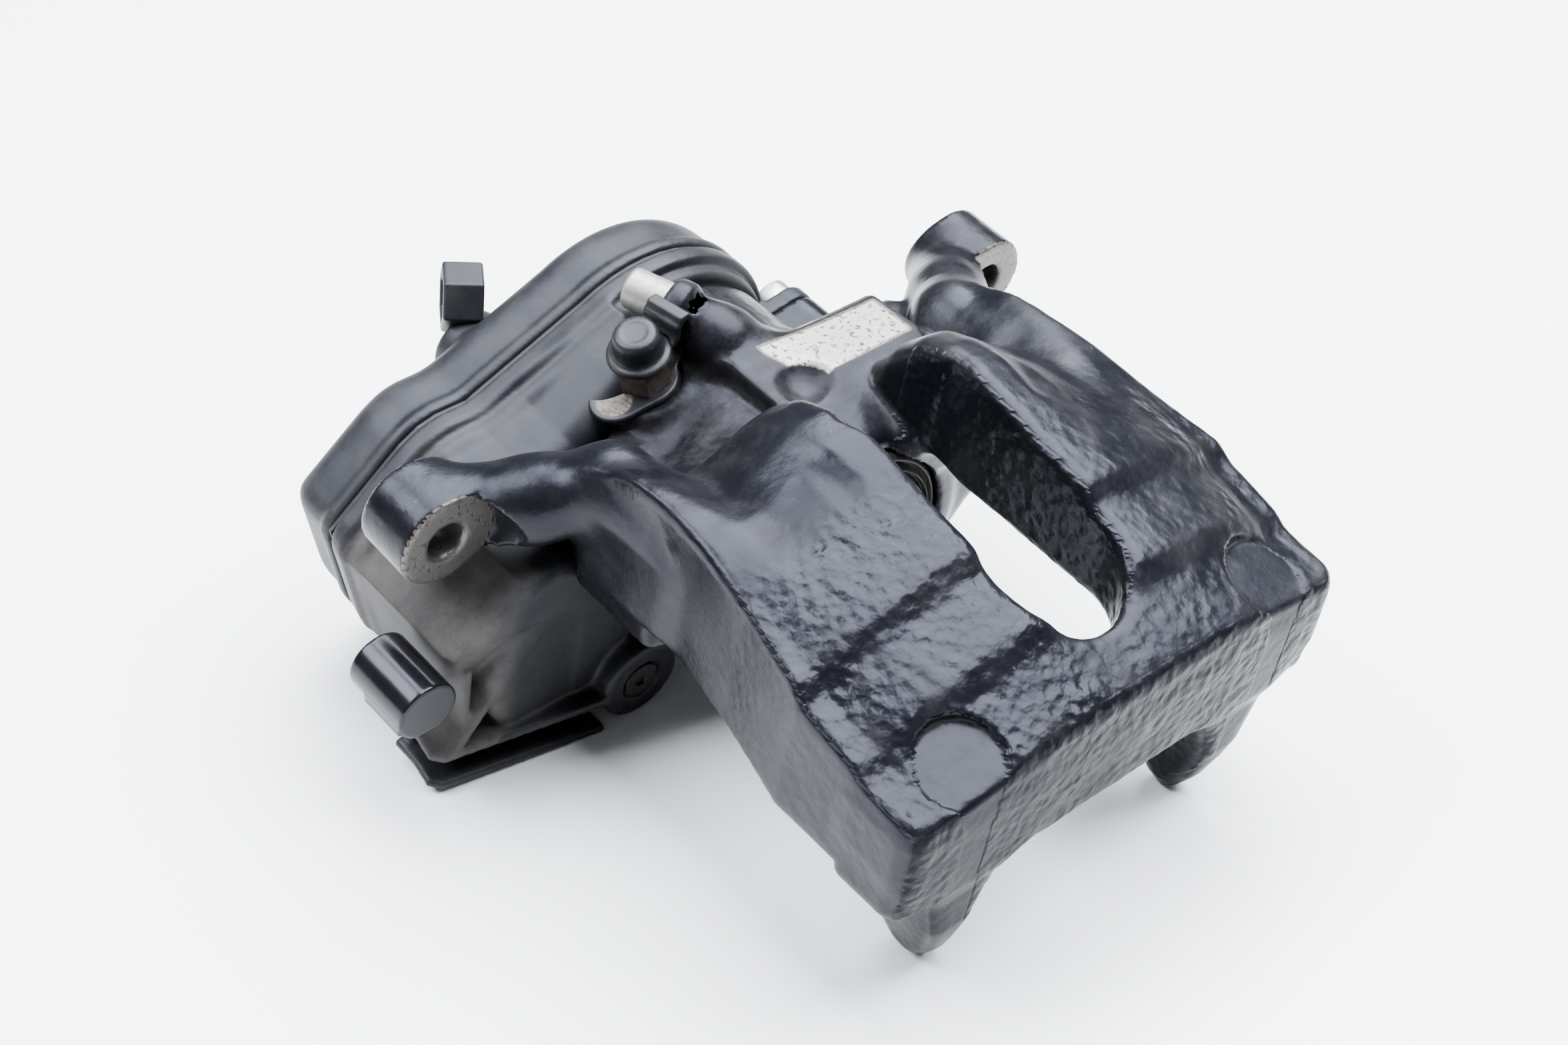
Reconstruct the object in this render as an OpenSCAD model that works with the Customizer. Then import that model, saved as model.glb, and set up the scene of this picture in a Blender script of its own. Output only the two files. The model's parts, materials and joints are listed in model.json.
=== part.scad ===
// Rear sliding brake caliper with an electric parking brake actuator.
// Everything is designed about the midpoint between the two guide bolt holes, in the plane of the
// machined ear faces: +X along the ears, +Y inboard to the actuator, +Z radially outward from the disc.
// stance() then lays the assembly on its two fingers and the actuator, as it rests on a bench.

/* [Guide bolt ears] */
// Distance between the two guide bolt holes
ear_spacing = 144; // [138:1:150]
// Radius of each ear's machined face
ear_r = 10.15; // [9.5:0.05:11]
// Radius of the guide bolt hole
guide_hole_r = 4.1; // [3.5:0.1:4.6]
// Length of the ear along the bolt
ear_len = 14; // [12:0.5:16]

/* [Cylinder] */
// Height of the piston axis above the ears' plane
piston_z = -16; // [-18:0.5:-15]
// Radius of the piston
piston_r = 21.5; // [20:0.5:21.5]
// Radial clearance of running fits
run_gap = 0.05; // [0.02:0.01:0.08]
// Outside radius of the cylinder
cylinder_r = 29; // [28:0.5:30]
// Position of the cylinder's mouth
mouth_y = -35; // [-36:0.5:-34]
// Position of the cylinder's back face
back_y = 22; // [21:0.5:22]

/* [Bridge and fingers] */
// Width of the fingers' wall
fist_w = 114; // [110:1:116]
// Width of the inspection window
window_w = 26.8; // [24:0.2:28]
// Position of the outboard face
front_y = -110; // [-111:0.5:-109]
// Position of the fingers' pad face
finger_y = -93; // [-94:0.5:-92]
// Radius of the bridge's outer surface about the disc axis
bridge_r = 160; // [150:5:170]
// Radius of the arch between the fingers
arch_r = 32; // [30:0.5:33]

/* [Parking brake drive] */
// Motor axis position beside the cylinder
motor_x = -50; // [-51:0.5:-49]
// Motor axis height
motor_z = -36; // [-37:0.5:-35]
// Radius of the motor can
motor_r = 15.5; // [14.5:0.5:15.5]
// Radius of the driven belt pulley
pulley_r = 21.6; // [20.4:0.1:21.6]
// Radius of the motor's belt pulley
pinion_r = 9; // [8.5:0.1:9]
// Gear module of the planetary stage
gear_m = 1; // [0.98:0.01:1]

/* [Gear case] */
// Plane of the joint between base and cover
seam_y = 31; // [30.8:0.1:31.2]
// Inboard face of the cover
cover_y = 47; // [47:0.5:48]
// Radius of the gear case around the piston axis
lobe_r = 33; // [33:0.5:34]
// Wall thickness of the gear case
case_wall = 3; // [2.5:0.1:3]

/* [Bleeder] */
// Lean of the bleed screw to the side, in degrees
bleed_lean = 18; // [15:1:20]

/* [Stance] */
// Rest angle on a level bench, in degrees
tilt = 10; // [9:0.5:11]

/* [Hidden] */
$fn = 64;
ear_x = ear_spacing / 2;
disc_z = 31.8 - bridge_r;
bore_r = piston_r + run_gap;
bleed_at = [-17.4, 8.4, 6.4];
boss_r = 8.7;
strap_turn = 22;
port_at = [-7.7, 11.3, 19.7];
port_turn = 20.8;
clip_turn = -34;
turret_y = 51.5;
plug_r = 6.6;
plug_x = -83.2;
plug_z = -29.6;

// Middle of the resting assembly, seen from above.
rest_x = (ear_x + ear_r + plug_x - plug_r) / 2;
rest_y = -24.72;

// Lowest points: the fingers' tips and the foot of the gear case's flange, both on the bench.
foot_y = -100.5;
foot_z = -43;
flange_y = [26, 36];
case_foot_z = foot_z - tan(tilt) * (flange_y[0] - foot_y);

// Corners of the gear case's outline in XZ.
case_corner = [-77.5, -20];
top_shoulder = [-61, -4.8];
top_flat = [-44.5, -0.6];
bottom_left = [-70.8, -44.5];
foot_left = [-54, case_foot_z];
foot_right = [-22, case_foot_z];

// Planetary stage: sun 12, planets 18, ring 48 teeth, three planets.
sun_teeth = 12;
planet_teeth = 18;
ring_teeth = 48;
planet_orbit = gear_m * (sun_teeth + planet_teeth) / 2;
planet_pin_r = 2.5;
gear_y = [31, 37];
backlash = 0.12;

// ---- Helpers -------------------------------------------------------------------------------

// Lays the finished design on a level bench, centred over the origin.
module stance() {
    lift = -foot_y * sin(tilt) - foot_z * cos(tilt);
    translate([-rest_x, -rest_y, lift]) rotate([tilt, 0, 0]) children();
}

// A round bar along Y.
module rod(r, y0, y1, x = 0, z = 0, fn = 64) {
    translate([x, y0, z]) rotate([-90, 0, 0]) cylinder(r = r, h = y1 - y0, $fn = fn);
}

// A tube along Y.
module tube(r_out, r_in, y0, y1, x = 0, z = 0) {
    difference() {
        rod(r_out, y0, y1, x, z);
        rod(r_in, y0 - 1, y1 + 1, x, z);
    }
}

// An outline drawn in XZ, as seen along Y, given depth from y0 to y1.
module slab(y0, y1) { translate([0, y1, 0]) rotate([90, 0, 0]) linear_extrude(y1 - y0) children(); }

// An outline drawn in YZ, given width from x0 to x1.
module side(x0, x1) { translate([x0, 0, 0]) rotate([90, 0, 90]) linear_extrude(x1 - x0) children(); }

// A profile of [radius, y] points turned about the piston axis.
module turned(points) {
    translate([0, 0, piston_z]) rotate([-90, 0, 0]) rotate_extrude($fn = 96) polygon(points);
}

module mirrored() {
    children();
    mirror([1, 0, 0]) children();
}

// Places children on the bleed screw's axis, +Z along it.
module on_bleeder() { translate(bleed_at) rotate([0, -bleed_lean, 0]) children(); }

// Places children on the brake hose port's axis, +Z out of the housing.
module on_port() { translate(port_at) rotate([-90, 0, port_turn]) children(); }

// ---- Housing -------------------------------------------------------------------------------

// Crown of the bridge in YZ, from the saddle out to the outboard face.
crown = [[-20, 16], [-24, 25], [-30, 31.5], [-37, 35], [-45, 36], [-54, 34.6], [-63, 32.8],
    [-76, 31.8], [-78.5, 28.6], [-81, 27.6], [-92.5, 25.2], [-95, 22.4], [-107, 16.8],
    [-109.2, 15.2], [-110, 13]];

// Solid of revolution about the disc axis, which gives the bridge its cross fall.
module bridge_arc() {
    translate([0, 0, disc_z]) rotate([-90, 0, 0]) rotate([0, 0, 247]) rotate_extrude(angle = 46, $fn = 360)
        polygon(concat([for (p = crown) [p[1] - disc_z, p[0]]],
            [[-4 - disc_z, -110], [-4 - disc_z, -20]]));
}

// Plan of the bridge: full width at the fingers, waisted towards the ears.
module bridge_plan() {
    h = fist_w / 2;
    translate([0, 0, -60]) linear_extrude(120)
        polygon([[-h, front_y], [h, front_y], [h, -78], [53.5, -60], [50.5, -40], [50, -20],
            [-50, -20], [-50.5, -40], [-53.5, -60], [-h, -78]]);
}

// Hollow over the disc, under the bridge.
module disc_gap() { rod(90, finger_y, mouth_y, 0, -80.5, 180); }

// Open saddle between the two inner crests, where the sloping end of the pad block shows.
module saddle_cut() {
    w = window_w / 2;
    side(-w, w) polygon([[-15.5, 13], [-35, 5], [-42, 5], [-42, 60], [-15.5, 60]]);
}

module window_cut() {
    w = window_w / 2;
    translate([0, 0, -30]) linear_extrude(90) union() {
        polygon([[-w, -40], [w, -40], [w, -82], [-w, -82]]);
        translate([0, -82]) scale([1, 1.16]) circle(w);
        polygon([[-w, -40], [-9, -33], [9, -33], [w, -40]]);
    }
}

// Troughs between each arm's outer rib and its inner crest.
module arm_troughs() {
    mirrored() translate([38, -18, 33.5]) rotate([85.4, 0, 7]) cylinder(r = 9, h = 50, $fn = 48);
}

// Long hollow in the flank of each inner crest.
module crest_hollow() {
    mirrored() translate([24, -33, 36.5]) rotate([90, 0, 4]) cylinder(r = 4, h = 26, $fn = 32);
}

module fingers() {
    intersection() {
        slab(front_y, finger_y) difference() {
            polygon([[-56, 4], [-55, -4.5], [-48, -7], [-43.5, -24], [-39.5, -40], [-37, -44],
                [-31.6, -44], [-30, -20], [30, -20], [31.6, -44], [37, -44], [39.5, -40],
                [43.5, -24], [48, -7], [55, -4.5], [56, 4]]);
            translate([0, -32]) circle(arch_r, $fn = 96);
            translate([-arch_r, -60]) square([2 * arch_r, 28]);
        }
        side(-60, 60) polygon([[front_y, 8], [front_y, -26], [-107, -36], [foot_y - 3, foot_z + 0.6],
            [foot_y, foot_z], [-97, -42], [-94, -38], [finger_y, -34], [finger_y, 8]]);
    }
}

module ear_and_neck() {
    rod(ear_r, 0, ear_len, ear_x);
    hull() {
        rod(9, 2, ear_len - 1.5, ear_x - 3, 0, 32);
        rod(11.5, -26, -9, 39.5, 8.5, 32);
    }
    hull() {
        rod(6, -12, 5, 44, 0, 32);
        rod(6, -12, 12, 22, -6, 32);
    }
}

// Cast body between the arms and the cylinder.
module shoulder() {
    slab(-40, -14) polygon([[-50, -4], [-50, 14], [-38, 13.5], [-30, 8], [30, 8], [38, 13.5],
        [50, 14], [50, -4], [27, -34], [-27, -34]]);
    slab(-15, 5) polygon([[-44, -3], [-44, 5], [-36, 2], [-12, 4], [26, 11], [44, 8], [44, -3]]);
}

// Raised pad that is machined bare, with its steep left end and sloping outboard facet.
module pad_block() {
    side(-8, 31) polygon([[-2.5, 5], [-2.5, 16], [-4, 17.4], [-16, 17.4], [-29, 12.5], [-36, 9], [-36, 5]]);
}

module port_boss() {
    hull() {
        translate([-4, 5, 16]) sphere(7.5, $fn = 32);
        on_port() translate([0, 0, -1.2]) cylinder(r = 6, h = 4, $fn = 32);
        translate([4, -2, 6]) sphere(9, $fn = 32);
    }
}

// Lugs on the cylinder's back that take the actuator's screws, on both sides of the axis.
lug_angles = [8, 262];
lug_orbit = 37.5;
function lug_at(a) = [lug_orbit * cos(a), piston_z + lug_orbit * sin(a)];
module lug_shape(a, r) {
    web = r - 0.3;
    translate([0, piston_z]) rotate(a) {
        translate([lug_orbit, 0]) circle(r);
        translate([20, -web]) square([lug_orbit - 20, 2 * web]);
    }
}

module caliper_housing() {
    color([0.07, 0.07, 0.08]) difference() {
        union() {
            difference() {
                union() {
                    intersection() {
                        bridge_arc();
                        bridge_plan();
                    }
                    fingers();
                    shoulder();
                    mirrored() ear_and_neck();
                }
                disc_gap();
                arm_troughs();
                crest_hollow();
                saddle_cut();
                // Machined faces round the guide bolt holes
                mirrored() rod(ear_r + 1, -14, 0, ear_x);
            }
            rod(cylinder_r, mouth_y, back_y, 0, piston_z, 96);
            pad_block();
            port_boss();
            on_bleeder() translate([-0.4, 0.4, -8]) cylinder(r = boss_r, h = 9.5);
            slab(12, back_y) for (a = lug_angles) lug_shape(a, 6.2);
        }
        window_cut();
        mirrored() {
            rod(guide_hole_r, -1, ear_len + 1, ear_x);
            // Round shallow marks at the outboard corners
            translate([40.5, -103, 14.5]) rotate([6, 8, 0]) cylinder(r = 8.8, h = 14);
        }
        // Cylinder bore, seal groove, boot seat, and the spindle's hole with its seal groove
        rod(bore_r, mouth_y - 10, 12, 0, piston_z, 96);
        rod(25, -29, -25.8, 0, piston_z, 96);
        rod(26, mouth_y - 10, -31, 0, piston_z, 96);
        rod(6.6, 0, back_y + 1, 0, piston_z);
        rod(8.75, 15.4, 17.6, 0, piston_z);
        for (a = lug_angles) rod(2.5, 10.5, back_y + 1, lug_at(a)[0], lug_at(a)[1]);
        // Dimple on the pad block
        translate([2, -21, 14.8]) rotate([21, 0, 0]) cylinder(r = 5.2, h = 6);
        // Bleed screw's threaded hole, room for the strap's tongue, and the fluid port
        on_bleeder() {
            translate([0, 0, -5.6]) cylinder(r = 3.5, h = 20);
            translate([0, 0, -12]) cylinder(r = 1.5, h = 10);
            translate([-13.4, -5.8, 1.55]) cube([14, 11.6, 14]);
            rotate(strap_turn) translate([4, -5.8, 1.55]) cube([6, 8, 15]);
            translate([0, 0, 1.55]) cylinder(r = 7.2, h = 22);
        }
        on_port() {
            translate([0, 0, 2]) cylinder(r = 3.8, h = 1);
            translate([0, 0, 2.9]) cylinder(r = 4.9, h = 17);
            translate([0, 0, -20]) cylinder(r = 1.8, h = 18);
        }
    }
}

// ---- Hydraulics ----------------------------------------------------------------------------

piston_front = -39;
piston_back = 8;

module piston() {
    color([0.62, 0.62, 0.6]) turned([[0, piston_front + 6], [12, piston_front + 6], [14.5, piston_front + 3],
        [14.5, piston_front], [20.3, piston_front], [20.7, piston_front + 0.5], [20.7, piston_front + 2.5],
        [piston_r, piston_front + 3.3], [piston_r, piston_back - 1], [piston_r - 1, piston_back],
        [16, piston_back], [16, -29], [14.5, -27.5], [0, -27.5]]);
}

module piston_seal() {
    color([0.05, 0.05, 0.05]) turned([[bore_r, -28.9], [24.9, -28.9], [24.9, -25.9], [bore_r, -25.9]]);
}

// Bellows seated in the cylinder's mouth, its lip on the piston.
module dust_boot() {
    color([0.04, 0.04, 0.04]) turned([[bore_r, -31.1], [25.9, -31.1], [25.9, -35], [25, -36.8],
        [24, -37], [23.4, -35.6], [22.8, -35.6], [22.4, -37.6], [bore_r, -37.8], [bore_r, -35.8],
        [21.9, -33.6], [24.2, -33.4], [24.2, -32.6], [bore_r, -32.4]]);
}

// ---- Parking brake spindle -----------------------------------------------------------------

module spindle() {
    color([0.55, 0.55, 0.56]) {
        turned([[0, -23], [4.2, -23], [4.9, -22.2], [4.9, 1], [13, 1], [13, 4.5], [6.5, 4.5], [6.5, 22.1],
            [5.7, 22.1], [5.7, 23.3], [6.3, 23.3], [6.3, 24], [0, 24]]);
        slab(24, 29) translate([0, piston_z]) circle(r = 6.2, $fn = 6);
    }
}

// Nut that drives the piston out; its flats keep it from turning in the piston's flutes.
module spindle_nut() {
    color([0.5, 0.5, 0.52]) difference() {
        union() {
            turned([[0, -22.5], [13.2, -22.5], [14.2, -21.5], [14.2, -16], [11, -14], [11, -1.5], [0, -1.5]]);
            slab(-21, -16.5) translate([0, piston_z])
                for (a = [0:60:300]) rotate(a) translate([13, -2]) square([2.4, 4]);
        }
        rod(4.95, -24, 0, 0, piston_z);
    }
}

// Two thin races with a cage of radial rollers between them.
module thrust_bearing() {
    color([0.66, 0.64, 0.6]) {
        tube(13, 7, 4.55, 5.1, 0, piston_z);
        tube(13, 7, 7.9, 8.4, 0, piston_z);
        tube(13, 7, 6, 7, 0, piston_z);
        for (a = [0:30:330])
            translate([0, 6.5, piston_z]) rotate([0, a, 0]) translate([8, 0, 0]) rotate([0, 90, 0])
                cylinder(r = 1.3, h = 4.4, $fn = 24);
    }
}

module thrust_washer() { color([0.6, 0.6, 0.62]) tube(15, 6.6, 8.4, 12, 0, piston_z); }

module spindle_seal() {
    color([0.05, 0.05, 0.05]) translate([0, 16.5, piston_z]) rotate([-90, 0, 0])
        rotate_extrude() translate([7.6, 0]) circle(1.04, $fn = 24);
}

module circlip() {
    color([0.35, 0.35, 0.36]) slab(22.2, 23.2) translate([0, piston_z]) difference() {
        circle(8.6);
        circle(5.75);
        translate([4, -2]) square([6, 4]);
    }
}

// ---- Bleeder and hose port -----------------------------------------------------------------

module bleed_screw() {
    color([0.32, 0.27, 0.22]) on_bleeder() {
        translate([0, 0, -5.4]) cylinder(r1 = 1.6, r2 = 3.45, h = 3);
        translate([0, 0, -2.4]) cylinder(r = 3.45, h = 6.4);
        translate([0, 0, 3.6]) cylinder(r = 5.7, h = 6, $fn = 6);
        translate([0, 0, 9.6]) cylinder(r = 3.3, h = 2);
        translate([0, 0, 11.6]) cylinder(r1 = 2.6, r2 = 3.3, h = 1.4);
        translate([0, 0, 13]) cylinder(r1 = 3.3, r2 = 2.3, h = 2.4);
    }
}

module bleed_cap() {
    color([0.06, 0.06, 0.07]) on_bleeder() rotate_extrude()
        polygon([[3.4, 10.4], [6.2, 10.4], [6.6, 11], [6.35, 11.9], [5.3, 12.3], [4.95, 13], [4.75, 16.2],
            [4.1, 17.3], [3, 17.6], [0, 17.6], [0, 15.6], [3.4, 15.6]]);
}

// Base ring with its tongue, and the loop of strap that stands beside the cap's flange.
module cap_strap() {
    color([0.06, 0.06, 0.07]) on_bleeder() {
        difference() {
            union() {
                translate([0, 0, 1.6]) cylinder(r = 6.8, h = 1.8);
                translate([-7.6, 0, 1.6]) cylinder(r = 5.4, h = 1.8);
                translate([-7.6, -4.6, 1.6]) cube([6, 9.2, 1.8]);
                rotate(strap_turn) translate([5, -4.8, 1.6]) cube([3.2, 4.8, 1.8]);
            }
            cylinder(r = 3.55, h = 5);
        }
        difference() {
            rotate(strap_turn) translate([7.5, 0.4, 0]) rotate([90, 0, 0]) linear_extrude(5.8) difference() {
                loop_shape(2.1);
                loop_shape(0.9);
            }
            translate([0, 0, 2.8]) cylinder(r = 7, h = 15);
        }
    }
}

module loop_shape(r) {
    translate([0, 4.6]) circle(r);
    translate([0, 13]) circle(r);
    translate([-r, 4.6]) square([2 * r, 8.4]);
}

module hose_sleeve() {
    color([0.7, 0.7, 0.68]) on_port() difference() {
        union() {
            translate([0, 0, 2]) cylinder(r = 3.8, h = 2);
            translate([0, 0, 3]) cylinder(r = 4.3, h = 8.5);
            translate([0, 0, 11.5]) cylinder(r1 = 4.3, r2 = 3.8, h = 0.6);
        }
        cylinder(r = 1.9, h = 15);
    }
}

// ---- Gear case -----------------------------------------------------------------------------

// Outline of the gear case in XZ: round about the piston axis, then its foot, left side and shoulder.
case_points = concat(
    [for (a = [121:-7.5:-104]) [lobe_r * cos(a), piston_z + lobe_r * sin(a)]],
    [[-14, -55], foot_right, foot_left, bottom_left, case_corner, top_shoulder],
    [[-56.5, -1.9], [-52, -0.7], top_flat, [-40, 1.6]]);

// Corner of the outline moved inward by d, square to the two sides that meet there.
function inset_point(p, i, d) =
    let (n = len(p), a = p[(i + n - 1) % n], b = p[i], c = p[(i + 1) % n],
        u = (b - a) / norm(b - a), v = (c - b) / norm(c - b), m = u + v)
    b + d / (1 + u * v) * [m[1], -m[0]];
module case_outline(d = 0) {
    polygon([for (i = [0:len(case_points) - 1]) inset_point(case_points, i, d)]);
}

// Cross section of the motor's housing beside the cylinder.
module pod_outline(d = 0) {
    polygon([[-76 + d, -23.5], [-60.5, -10 - d], [-52, -8 - d], [-44, -9.5 - d], [-33 - d, -20],
        [-31.6 - d, -36], [-33 - d, -50], [-42, -56 + d], [-60, -54 + d], [-70 + d, -46]]);
}

// Roof between the motor's housing and the flange, clear of the cylinder and the bleed screw's boss.
module case_roof() {
    difference() {
        union() {
            slab(12.8, 24) polygon([[-66, -12], [-56, -4], [-46, -2.2], [-36, 1], [-29.5, 3.5],
                [-29.5, -20], [-60, -30]]);
            slab(18, 24) polygon([[-31, 3], [-24, 9], [-15, 13], [-8, 8], [-22, -12], [-31, -20]]);
        }
        rod(cylinder_r + 0.3, 0, back_y + 0.1, 0, piston_z, 96);
    }
}

shelf_plan = [[-78.2, -10.6], [-41, -16.8], [-41, 4], [-78.2, 4]];

module screw_boss(y0, y1, r) { rod(r, y0, y1, -32, -48.2); }

module gear_case_base() {
    color([0.1, 0.1, 0.11]) difference() {
        union() {
            slab(flange_y[0], seam_y - 0.4) case_outline();
            slab(23.5, 26) case_outline(2.2);
            slab(-11.6, 24) pod_outline();
            case_roof();
            tube(27, 20, back_y, 24, 0, piston_z);
            // Rail under the motor: two shelves, a web behind them and the gussets
            for (z = [-51, -57.6]) translate([0, 0, z]) linear_extrude(2) polygon(shelf_plan);
            translate([-76.5, 2, -57.6]) cube([36, 2, 8]);
            side(-58, -56.4) polygon([[-11.5, -12], [-11.5, -36], [-14, -49.2], [-2, -49.2], [-2, -30]]);
            side(-73, -71.4) polygon([[-11.5, -27], [-11.5, -49.2], [0, -49.2], [0, -30]]);
            slab(-11.6, -9.6) polygon([[-74, -26], [-76.6, -27], [-76.6, -49.5], [-60, -49.5]]);
            screw_boss(-16.8, 4, 9.4);
            // Ears for the mounting screws
            slab(back_y + 0.05, 26) for (a = lug_angles) lug_shape(a, 6.2);
        }
        // Gear room, motor room, spindle opening and the screw holes
        slab(26.6, seam_y + 1) case_outline(case_wall);
        rod(motor_r + 0.1, -9.3, 28, motor_x, motor_z);
        rod(12, back_y - 1, 27, 0, piston_z);
        tube(25.6, 23.4, back_y - 1, back_y + 1.4, 0, piston_z);
        for (a = lug_angles) {
            rod(3.2, back_y - 1, 40, lug_at(a)[0], lug_at(a)[1]);
            rod(5.6, 26, 40, lug_at(a)[0], lug_at(a)[1]);
        }
        rod(2.2, -18, -3, -32, -48.2);
        rod(4.6, -18, -15.2, -32, -48.2);
        // Channel between the two shelves ends at the boss
        translate([-80, -20, -55.6]) cube([39, 20, 4.6]);
    }
}

module gear_case_cover() {
    color([0.1, 0.1, 0.11]) difference() {
        union() {
            slab(seam_y + 0.4, flange_y[1]) case_outline();
            slab(flange_y[1], 43.5) case_outline(1.4);
            slab(43.5, 45.5) case_outline(2.6);
            slab(45.5, cover_y) case_outline(4.6);
            rod(8.2, cover_y - 1, turret_y, -29, -8);
        }
        slab(seam_y, cover_y - 2.4) case_outline(case_wall + 2);
        slab(seam_y, 41) case_outline(case_wall);
        rod(2.9, cover_y - 3, cover_y + 1, 0, piston_z);
        rod(3.5, cover_y + 1, turret_y + 1, -29, -8, 32);
        for (a = lug_angles) slab(20, 60) translate(lug_at(a)) circle(6.5);
    }
}

// Gasket in the joint, set back from the flanges' edge.
module case_seal() {
    color([0.02, 0.02, 0.02]) slab(seam_y - 0.4, seam_y + 0.4) difference() {
        case_outline(1);
        case_outline(case_wall - 0.4);
    }
}

module turret_seal() {
    color([0.04, 0.04, 0.04]) translate([0, back_y + 0.7, piston_z]) rotate([-90, 0, 0])
        rotate_extrude() translate([24.5, 0]) circle(0.68, $fn = 24);
}

// ---- Gears and belt ------------------------------------------------------------------------

// Half the angle a tooth spans at radius r, for an involute of pressure angle 20 degrees.
function inv_deg(a) = tan(a) * 180 / PI - a;
function half_tooth(z, r, slack) =
    let (rp = gear_m * z / 2, rb = rp * cos(20), at = r <= rb ? 0 : acos(rb / r))
    90 / z - slack / rp * 90 / PI + inv_deg(20) - inv_deg(at);

// Gear outline with add and ded as tooth heights above and below the pitch circle.
module gear_outline(z, add, ded, slack) {
    rp = gear_m * z / 2;
    radii = [rp - ded, max(rp - ded + 0.05, rp * cos(20)), rp - 0.25, rp, rp + 0.5, rp + add];
    pts = [for (i = [0:z - 1])
        each concat(
            [for (k = [0:5]) let (a = i * 360 / z - half_tooth(z, radii[k], slack)) radii[k] * [cos(a), sin(a)]],
            [for (k = [5:-1:0]) let (a = i * 360 / z + half_tooth(z, radii[k], slack)) radii[k] * [cos(a), sin(a)]])];
    polygon(pts);
}

module ring_gear() {
    color([0.75, 0.73, 0.65]) slab(30.2, 37.4) translate([0, piston_z]) difference() {
        circle(29.6, $fn = 96);
        rotate(180 / ring_teeth) gear_outline(ring_teeth, 1.25 * gear_m, 0.85 * gear_m, -backlash);
    }
}

module planet_carrier() {
    color([0.6, 0.6, 0.6]) difference() {
        union() {
            rod(19, 27.4, 30, 0, piston_z);
            rod(9, 24.2, 27.4, 0, piston_z);
        }
        slab(20, 32) translate([0, piston_z]) circle(r = 6.25, $fn = 6);
        for (a = [0:120:240])
            rod(planet_pin_r, 20, 32, planet_orbit * cos(a), piston_z + planet_orbit * sin(a));
    }
}

module planet_pins() {
    color([0.7, 0.7, 0.72]) for (a = [0:120:240])
        rod(planet_pin_r, 27.4, 37.4, planet_orbit * cos(a), piston_z + planet_orbit * sin(a));
}

module planet(i) {
    a = 120 * i;
    color([0.85, 0.83, 0.75]) slab(gear_y[0], gear_y[1])
        translate([planet_orbit * cos(a), piston_z + planet_orbit * sin(a)]) difference() {
            rotate(a * (1 + sun_teeth / planet_teeth) + 180 / planet_teeth)
                gear_outline(planet_teeth, 0.9 * gear_m, 1.2 * gear_m, backlash / 2);
            circle(planet_pin_r + run_gap);
        }
}
module planet_gear_1() { planet(0); }
module planet_gear_2() { planet(1); }
module planet_gear_3() { planet(2); }

// Driven pulley with the sun gear moulded on its hub.
module sun_pulley() {
    color([0.8, 0.78, 0.7]) difference() {
        union() {
            slab(31.2, 38) translate([0, piston_z])
                gear_outline(sun_teeth, 0.9 * gear_m, 1.2 * gear_m, backlash / 2);
            rod(7.5, 37.6, 38.6, 0, piston_z);
            rod(pulley_r, 38.4, 44.2, 0, piston_z, 96);
            rod(pulley_r + 1.9, 38.4, 38.8, 0, piston_z, 96);
            rod(pulley_r + 1.9, 43.8, 44.2, 0, piston_z, 96);
        }
        rod(3.05, 30, 46, 0, piston_z);
        // Lightening holes
        for (a = [30:60:330]) rod(3.6, 38, 45, 13.5 * cos(a), piston_z + 13.5 * sin(a), 32);
    }
}

module pulley_axle() {
    color([0.7, 0.7, 0.72]) {
        rod(3, 32, cover_y - 2.4, 0, piston_z);
        rod(2.9, cover_y - 2.5, cover_y, 0, piston_z);
    }
}

// Loop round both pulleys, t outside the pulleys' faces.
belt_span = [motor_x, motor_z - piston_z];
belt_len = norm(belt_span);
belt_dir = atan2(belt_span[1], belt_span[0]);
belt_wrap = acos((pulley_r - pinion_r) / belt_len);
module belt_outline(t) {
    translate([0, piston_z]) rotate(belt_dir) polygon(concat(
        [for (i = [0:60]) let (a = belt_wrap + i * (360 - 2 * belt_wrap) / 60)
            (pulley_r + t) * [cos(a), sin(a)]],
        [for (i = [0:40]) let (a = -belt_wrap + i * 2 * belt_wrap / 40)
            [belt_len, 0] + (pinion_r + t) * [cos(a), sin(a)]]));
}

module drive_belt() {
    color([0.08, 0.08, 0.08]) slab(39, 43.6) difference() {
        belt_outline(1.4);
        belt_outline(run_gap);
    }
}

// ---- Motor ---------------------------------------------------------------------------------

module motor_pulley() {
    color([0.7, 0.7, 0.7]) difference() {
        union() {
            rod(pinion_r, 38.4, 44.2, motor_x, motor_z);
            rod(pinion_r + 1.7, 38.4, 38.8, motor_x, motor_z);
            rod(pinion_r + 1.7, 43.8, 44.2, motor_x, motor_z);
            rod(4, 36, 38.4, motor_x, motor_z);
        }
        rod(1.6, 30, 50, motor_x, motor_z);
    }
}

module motor_shaft() { color([0.7, 0.7, 0.72]) rod(1.6, -7.5, 44.2, motor_x, motor_z); }

module motor_armature() {
    color([0.7, 0.4, 0.2]) difference() {
        union() {
            rod(10.4, -3, 21, motor_x, motor_z);
            rod(4.2, 21, 27, motor_x, motor_z);
        }
        rod(1.6, -8, 30, motor_x, motor_z);
        for (a = [0:60:300])
            rod(1.6, -4, 22, motor_x + 9.6 * cos(a), motor_z + 9.6 * sin(a), 16);
    }
}

module motor_can() {
    color([0.65, 0.65, 0.66]) difference() {
        rod(motor_r, -9, 28, motor_x, motor_z);
        rod(motor_r - 1.2, -7.8, 29, motor_x, motor_z);
        rod(1.65, -10, 0, motor_x, motor_z);
    }
}

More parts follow.
